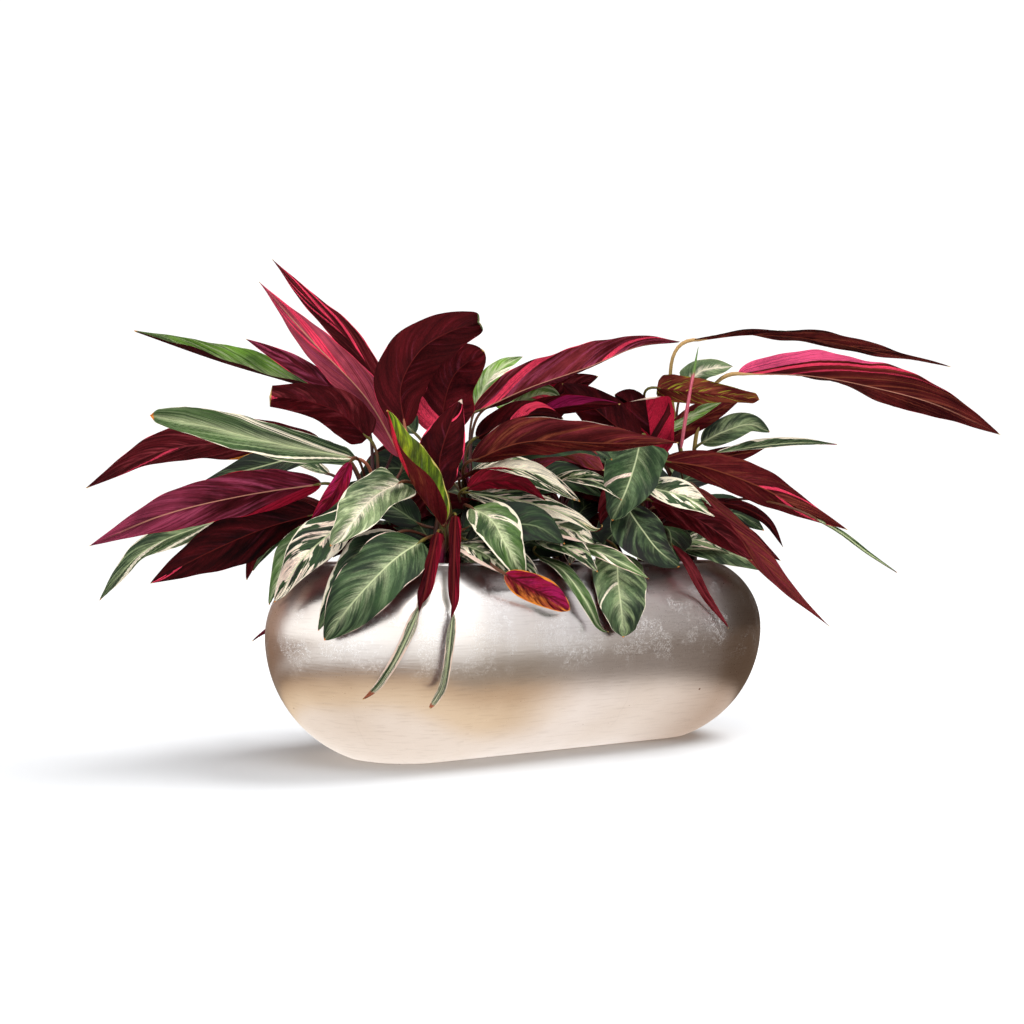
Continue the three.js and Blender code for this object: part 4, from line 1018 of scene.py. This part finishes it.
def outer_radius(height):
    """How far the planter's wall bulges from its centreline: one arc below the belly and another above."""
    inset, reach = RIM_INSET, POT_HEIGHT - BELLY_HEIGHT
    if height < BELLY_HEIGHT:
        inset, reach = FOOT_INSET, BELLY_HEIGHT
    arc = (reach ** 2 + inset ** 2) / (2 * inset)
    return POT_HALF_WIDTH - arc + math.sqrt(arc ** 2 - (height - BELLY_HEIGHT) ** 2)


TURN_STEPS = 44
STRAIGHT_STEPS = 18


def capsule(radius, height):
    """A ring round the planter's plan, how far round each point is at the belly, and the whole way round."""
    straight, arc = 2 * HALF_CENTRELINE, math.pi * POT_HALF_WIDTH
    half, run = [], []
    for share in np.arange(STRAIGHT_STEPS) / STRAIGHT_STEPS:
        half.append((straight * share - HALF_CENTRELINE, -radius))
        run.append(straight * share)
    for share in np.arange(TURN_STEPS) / TURN_STEPS:
        angle = math.pi * (share - 0.5)
        half.append((HALF_CENTRELINE + radius * math.cos(angle), radius * math.sin(angle)))
        run.append(straight + arc * share)
    ring = [(x * way, y * way, height) for way in (1, -1) for x, y in half]
    return ring, run + [straight + arc + place for place in run], 2 * (straight + arc)


def planter_piece(skin):
    """The planter's shell: a recessed underside, the bulging wall, a rounded lip and the inside."""
    shadow_gap = 3 * MM
    foot = outer_radius(0.0) - 4 * MM
    rows = [(foot, 0.0), (foot, shadow_gap)]
    heights = np.concatenate([np.linspace(shadow_gap, 20 * MM, 8), np.linspace(24 * MM, 237 * MM, 64)])
    rows += [(outer_radius(h), h) for h in heights]
    lip_radius = WALL / 2
    top = POT_HEIGHT - lip_radius
    centre = outer_radius(top) - lip_radius
    for angle in np.radians((25, 50, 75, 90, 105, 130, 155)):
        rows.append((centre + lip_radius * math.cos(angle), top + lip_radius * math.sin(angle)))
    inside = np.concatenate([np.linspace(236 * MM, 200 * MM, 12), np.linspace(190 * MM, FLOOR, 16)])
    rows += [(outer_radius(h) - WALL, h) for h in inside]
    points = [point for row in rows for point in capsule(*row)[0]]
    _, distance, whole_way = capsule(*rows[0])
    sides = len(distance)
    corners = []
    for (_, low), (_, high) in zip(rows, rows[1:]):
        for start, end in zip(distance, distance[1:] + [whole_way]):
            corners += [(start, low, 0), (end, low, 0), (end, high, 0), (start, high, 0)]
    faces = bowl_faces(len(rows), sides)
    mesh = make_piece("silver_planter", points, faces, [skin], "planter", sharp=50)
    add_layer(mesh, "wrap", "CORNER", corners + [(0, 0, 0)] * 2 * sides)


def lumps(points, scale, seed):
    """Smooth noise from a few crossing waves, about -1 to 1."""
    rng = np.random.default_rng(seed)
    total = np.zeros(len(points))
    for _ in range(7):
        way = unit(rng.normal(size=3)) * scale * rng.uniform(0.6, 1.7)
        total += np.sin(points @ way + rng.uniform(0, 6))
    return total / 4


def soil_piece(skin):
    """The soil: a low mound of crumbs on top, and the filling of the planter below."""
    heights = [*np.linspace(FLOOR + CLEARANCE, 150 * MM, 10), *np.linspace(165 * MM, SOIL_TOP, 6)]
    rows = [(outer_radius(h) - WALL - CLEARANCE, h) for h in heights]
    rows += [(rows[-1][0] * share, SOIL_TOP) for share in np.linspace(0.97, 0.03, 26)]
    points = np.array([point for row in rows for point in capsule(*row)[0]])
    crumbs = lumps(points, 260, 4) * 2.2 * MM + lumps(points, 700, 5) * 1.3 * MM
    points[:, 2] += np.where(points[:, 2] > SOIL_TOP - 1e-6, crumbs - 2 * MM, 0)
    faces = bowl_faces(len(rows), len(points) // len(rows))
    make_piece("potting_soil", points, faces, [skin], "soil")


def chips_piece(name, count, size, skin, seed):
    """Loose bits of bark or perlite lying on the soil: rough, flattened lumps."""
    rng = np.random.default_rng(seed)
    parts = []
    for _ in range(count):
        x = rng.uniform(-HALF_CENTRELINE, HALF_CENTRELINE) + rng.normal() * 0.02
        y = rng.uniform(-1, 1) * 92 * MM
        centre = np.array((x, y, SOIL_TOP + rng.uniform(-2, 0.5) * MM))
        reach = size * rng.uniform(0.5, 1.4)
        stretch = np.array((reach, reach * rng.uniform(0.4, 0.9), reach * rng.uniform(0.25, 0.6)))
        turned = rng.uniform(0, 2 * np.pi)
        cosine, sine = math.cos(turned), math.sin(turned)
        points = []
        for level in np.radians((-50, -10, 30, 62)):
            for around in np.arange(8) / 4 * np.pi:
                way = np.array((math.cos(around) * math.cos(level), math.sin(around) * math.cos(level),
                                math.sin(level)))
                x, y, z = way * stretch * rng.uniform(0.78, 1.15)
                points.append((x * cosine - y * sine, x * sine + y * cosine, z))
        points += [(0, 0, -stretch[2]), (0, 0, stretch[2])]
        parts.append((np.array(points) + centre, np.zeros((len(points), 3)), tube_faces(4, 8)))
    points, _, faces, _ = gather(parts)
    make_piece(name, points, faces, [skin], sharp=40)


# ---- the plant ----

def blades_piece(name, skin_name, blades, dress, length, seed, finish, node=None):
    """One or more blades in one piece, with a skin for the upper and one for the under side."""
    over, under, sectors, *changes = dress
    changed = changes[0] if changes else {}
    above = {**UPPERS[over], **changed.get("over", {})}
    beneath = {**UNDERS[under], **changed.get("under", {})}
    skins = [leaf_skin(skin_name + "_above", above, sectors, length, seed, False),
             leaf_skin(skin_name + "_beneath", beneath, sectors, length, seed, True)]
    points, layer, faces, slots = gather(blades)
    mesh = make_piece(name, points * MM, faces, skins, node, slots, 60)
    add_layer(mesh, "leaf", "POINT", layer)


def leaf_piece(name, leaf, number):
    in_cad = name in LEAVES
    grid = FINE_GRID if in_cad else MIDDLE_GRID
    blade = blade_mesh(leaf, BENDS.get(name, {}), np.random.default_rng(number + 100), grid)
    blades_piece(name.replace("leaf_", "blade_"), name, [blade], DRESS.get(name, PLAIN_DRESS),
                 midrib(leaf.spine)[0], 2.3 * number + 1.0,
                 "leaf_maroon" if leaf.face[1] > 0 else "leaf_green", name if in_cad else None)


# The camera's level direction, which points from the front of the plant to its back.
BACKWARDS = (0.582, 0.813)


def inner_leaves(shoot, rng):
    """Young leaves round a shoot: none of them leans far out to the front or past the ends of the planter."""
    count, (low, high), _ = INNER_LEAVES[shoot]
    foot, crown, _ = shoot_line(shoot, 0)
    leaves = []
    angle = rng.uniform(0, 6)
    while len(leaves) < count:
        angle += 2.4
        way = np.array((math.cos(angle), math.sin(angle), 0.0))
        backwards = way[0] * BACKWARDS[0] + way[1] * BACKWARDS[1]
        to_right = way[0] * BACKWARDS[1] - way[1] * BACKWARDS[0]
        if backwards < -0.35 or (shoot == "left" and to_right < 0) or (shoot == "end" and to_right > 0.3):
            continue
        level = low + (high - low) * ((len(leaves) + rng.uniform(0, 1)) / count)
        reach = rng.uniform(105, 150)
        start = np.array((crown[0], crown[1], level)) + way * rng.uniform(22, 40)
        spine = [start + way * reach * share + (0, 0, rise)
                 for share, rise in ((0, 0), (0.35, 26), (0.7, 30), (1, 8))]
        face = np.array((-0.5, -0.7, 0.0)) * rng.choice((1.0, 1.0, -0.8)) + (0, 0, rng.uniform(0.3, 0.8))
        height = min(0.95, max(0.1, (level - foot[2]) / (crown[2] - foot[2]) * 0.8))
        width = rng.uniform(48, 64)
        leaves.append(Leaf(shoot, height, width, 0.8, (10, 10), tuple(face), tuple(map(tuple, spine))))
    return leaves


def inner_piece(shoot, number):
    """The young leaves of one shoot, as one piece."""
    rng = np.random.default_rng(500 + number)
    leaves = inner_leaves(shoot, rng)
    blades = [blade_mesh(leaf, {}, rng, COARSE_GRID) for leaf in leaves]
    dress = (*INNER_LEAVES[shoot][2], ())
    blades_piece("inner_leaves_" + shoot, "inner_" + shoot, blades, dress, 130.0, 300.0 + 5 * number,
                 "leaf_green")
    return leaves


def rolled_leaf(name):
    """The new leaf, still rolled up: a pink spear with a green tip."""
    share = np.linspace(0, 1, 60)
    route = midrib(LEAVES[name].spine)[1](share)[0]
    radii = np.interp(share, (0, 0.06, 0.35, 0.62, 0.72, 0.93, 1), (1.4, 2.3, 2.5, 1.9, 2.4, 0.9, 0.25))
    points, layer, faces = tube(route, radii, 16, 0.0, ridges=3)
    mesh = make_piece("blade_new", points * MM, faces, [rolled_skin()], name, sharp=70)
    add_layer(mesh, "leaf", "POINT", layer)


every_leaf = {**LEAVES, **SMALL_LEAVES}
for number, (leaf_name, leaf) in enumerate(every_leaf.items()):
    if leaf_name == "leaf_new":
        rolled_leaf(leaf_name)
    else:
        leaf_piece(leaf_name, leaf, number)

stems = stalk_skin()
for number, shoot_name in enumerate(SHOOTS):
    young = inner_piece(shoot_name, number)
    grown = [leaf for leaf in every_leaf.values() if leaf.shoot == shoot_name]
    shoot_piece(shoot_name, grown + young, stems)

planter_piece(silver_skin())
soil_piece(soil_skin())
chips_piece("bark_chips", 190, 7 * MM, chip_skin("bark"), 11)
chips_piece("perlite", 70, 3 * MM, chip_skin("perlite"), 12)


# ---- studio ----

def square(name, half_side, height, material):
    signs = ((-1, -1), (1, -1), (1, 1), (-1, 1))
    points = [(half_side * x, half_side * y, height) for x, y in signs]
    return add_mesh(name, points, [(0, 1, 2, 3)], [material])


def aim(thing, place, target):
    thing.location = place
    thing.rotation_euler = (Vector(target) - Vector(place)).to_track_quat("-Z", "Y").to_euler()


# The floor is grey-white within 0.6 m of the plant and white beyond 1.8 m: painted shade that deepens the
# plant's shadow close by, while the far floor meets the backdrop.
floor_paint = Paint("studio_floor")
floor_reach = floor_paint.node("VectorMath", {0: floor_paint.place()}, "Value", operation="LENGTH")
floor_darker_near_plant = floor_paint.mix(floor_paint.step(floor_reach, 0.6, 1.8), (0.79, 0.8, 0.815, 1.0), WHITE)
floor_skin = floor_paint.finish(Base_Color=floor_darker_near_plant, Roughness=1.0, Specular_IOR_Level=0.0)
floor = square("floor", 9, 0, floor_skin)
floor.visible_glossy = False

world = bpy.data.worlds.new("studio")
bpy.context.scene.world = world
world.use_nodes = True
world.node_tree.nodes["Background"].inputs["Color"].default_value = WHITE
world.node_tree.nodes["Background"].inputs["Strength"].default_value = 0.45

soft_box = bpy.data.lights.new("overhead", "AREA")
soft_box.shape = "RECTANGLE"
soft_box.size = 2.4
soft_box.size_y = 1.6
soft_box.energy = 30
aim(add_object("overhead", soft_box), (-0.55, -0.95, 2.2), (0, 0, 0.2))

key_light = bpy.data.lights.new("key", "SUN")
key_light.energy = 3.0
key_light.angle = math.radians(38)
key = add_object("key", key_light)
key.visible_glossy = False
aim(key, (0.62, -0.1, 0.85), (0, 0, 0))


def only_seen(piece):
    """Keeps a stage piece from lighting or shading the plant."""
    piece.visible_diffuse = False
    piece.visible_shadow = False
    piece.visible_transmission = False
    piece.visible_volume_scatter = False


def only_mirrored(piece):
    """Hides a stage piece from all but reflections."""
    piece.visible_camera = False
    only_seen(piece)


DOME_RINGS = 14
DOME_SIDES = 48


def dome(name, radius, material):
    """A hemisphere round the whole scene."""
    points = []
    for lift in np.radians(np.arange(DOME_RINGS) * 6.5 - 1):
        for around in np.arange(DOME_SIDES) / DOME_SIDES * 2 * math.pi:
            level = radius * math.cos(lift)
            points.append((level * math.cos(around), level * math.sin(around), radius * math.sin(lift)))
    low_points = range(0, (DOME_RINGS - 1) * DOME_SIDES, DOME_SIDES)
    faces = [ring_quad(low, side, DOME_SIDES)[::-1] for low in low_points for side in range(DOME_SIDES)]
    return add_mesh(name, points, faces, [material])


def glow(name, colour, strength):
    paint = Paint(name)
    return paint.finish("Emission", Strength=strength, Color=colour(paint))


def wall_mirrored(paint):
    """Bright in front, to the left and above, grey and then dark taupe to the right, and brown behind."""
    east, north, above = paint.parts(paint.place())
    below_ceiling = paint.step(above, 3.8, 3.4)
    behind = paint.step(north, 1.2, 2.0) * paint.step(east, -2.7, -2.0)
    dark = paint.larger(paint.step(east, 2.49, 2.59), behind) * below_ceiling
    grey = paint.mix(paint.step(east, 2.38, 2.46), (0.42, 0.38, 0.44, 1.0), (1.1, 1.12, 1.2, 1.0))
    bright = paint.mix(paint.step(east, 2.02, 2.22) * below_ceiling, (1.62, 1.72, 1.82, 1.0), grey)
    brown = paint.mix(paint.step(east, -0.5, 0.5), (0.36, 0.22, 0.15, 1.0), (0.26, 0.2, 0.18, 1.0))
    return paint.mix(dark, bright, paint.mix(paint.step(east, 2.5, 2.7), brown, (0.05, 0.032, 0.022, 1.0)))


def floor_mirrored(paint):
    """The floor as the planter shows it: pale close by, then tan or grey, and at last bright on the left."""
    east, north, _ = paint.parts(paint.place())
    beyond = paint.larger(abs(east) - HALF_CENTRELINE, 0.0)
    away = paint.maths("SQRT", beyond * beyond + north * north) - POT_HALF_WIDTH
    facing = east * -0.773 + north * -0.635
    band = paint.mix(paint.step(east, -0.25, -0.42), (0.34, 0.3, 0.26, 1.0), (0.18, 0.1, 0.055, 1.0))
    nearer = away - paint.step(east, -0.1, -0.34) * 0.09
    left = paint.mix(paint.step(nearer, -0.085, -0.03), (1.1, 1.03, 0.96, 1.0), (1.0, 0.83, 0.62, 1.0))
    left = paint.mix(paint.step(nearer, -0.02, 0.06), left, (0.72, 0.54, 0.37, 1.0))
    left = paint.mix(paint.step(nearer, 0.06, 0.14), left, band)
    farther = away - paint.step(east, -0.1, 0.35) * 0.22
    left = paint.mix(paint.step(farther, 0.24, 0.5), left, (1.2, 1.26, 1.32, 1.0))
    rear = paint.step(north, 0.3, 0.6) * paint.step(east, 0.0, -0.3)
    left = paint.mix(rear, left, (0.24, 0.135, 0.08, 1.0))
    right = paint.mix(paint.step(away, 0.01, 0.13), (1.15, 1.11, 1.09, 1.0), (0.33, 0.3, 0.29, 1.0))
    right = paint.mix(paint.step(away, 0.3, 0.5), right, (0.2, 0.16, 0.14, 1.0))
    end = paint.mix(paint.step(away, 0.0, 0.1), (0.7, 0.58, 0.5, 1.0), (0.12, 0.08, 0.055, 1.0))
    right = paint.mix(paint.step(facing, 0.01, -0.12), right, end)
    return paint.mix(paint.larger(paint.step(facing, 0.08, 0.19), paint.step(east, -0.2, -0.3)), right, left)


# Glowing stage pieces seen only in reflections: painted reflections of what the planter mirrors instead of
# the backdrop and the real floor.
only_mirrored(dome("mirrored_surroundings", 4, glow("mirrored_surroundings", wall_mirrored, 1.25)))
only_mirrored(square("floor_in_reflections", 4, 0.0004, glow("floor_in_reflections", floor_mirrored, 1.25)))

backdrop = dome("backdrop", 8, glow("backdrop", lambda paint: WHITE, 1.1))
backdrop.visible_glossy = False
only_seen(backdrop)

scene = bpy.context.scene
scene.view_settings.view_transform = "Standard"
lens = bpy.data.cameras.new("camera")
lens.lens = CAMERA_LENS
lens.sensor_width = CAMERA_SENSOR
lens.shift_y = CAMERA_SHIFT_UP
camera = add_object("camera", lens)
camera.location = CAMERA_PLACE
camera.rotation_euler = (math.radians(90), 0, math.radians(CAMERA_TURN))
scene.camera = camera
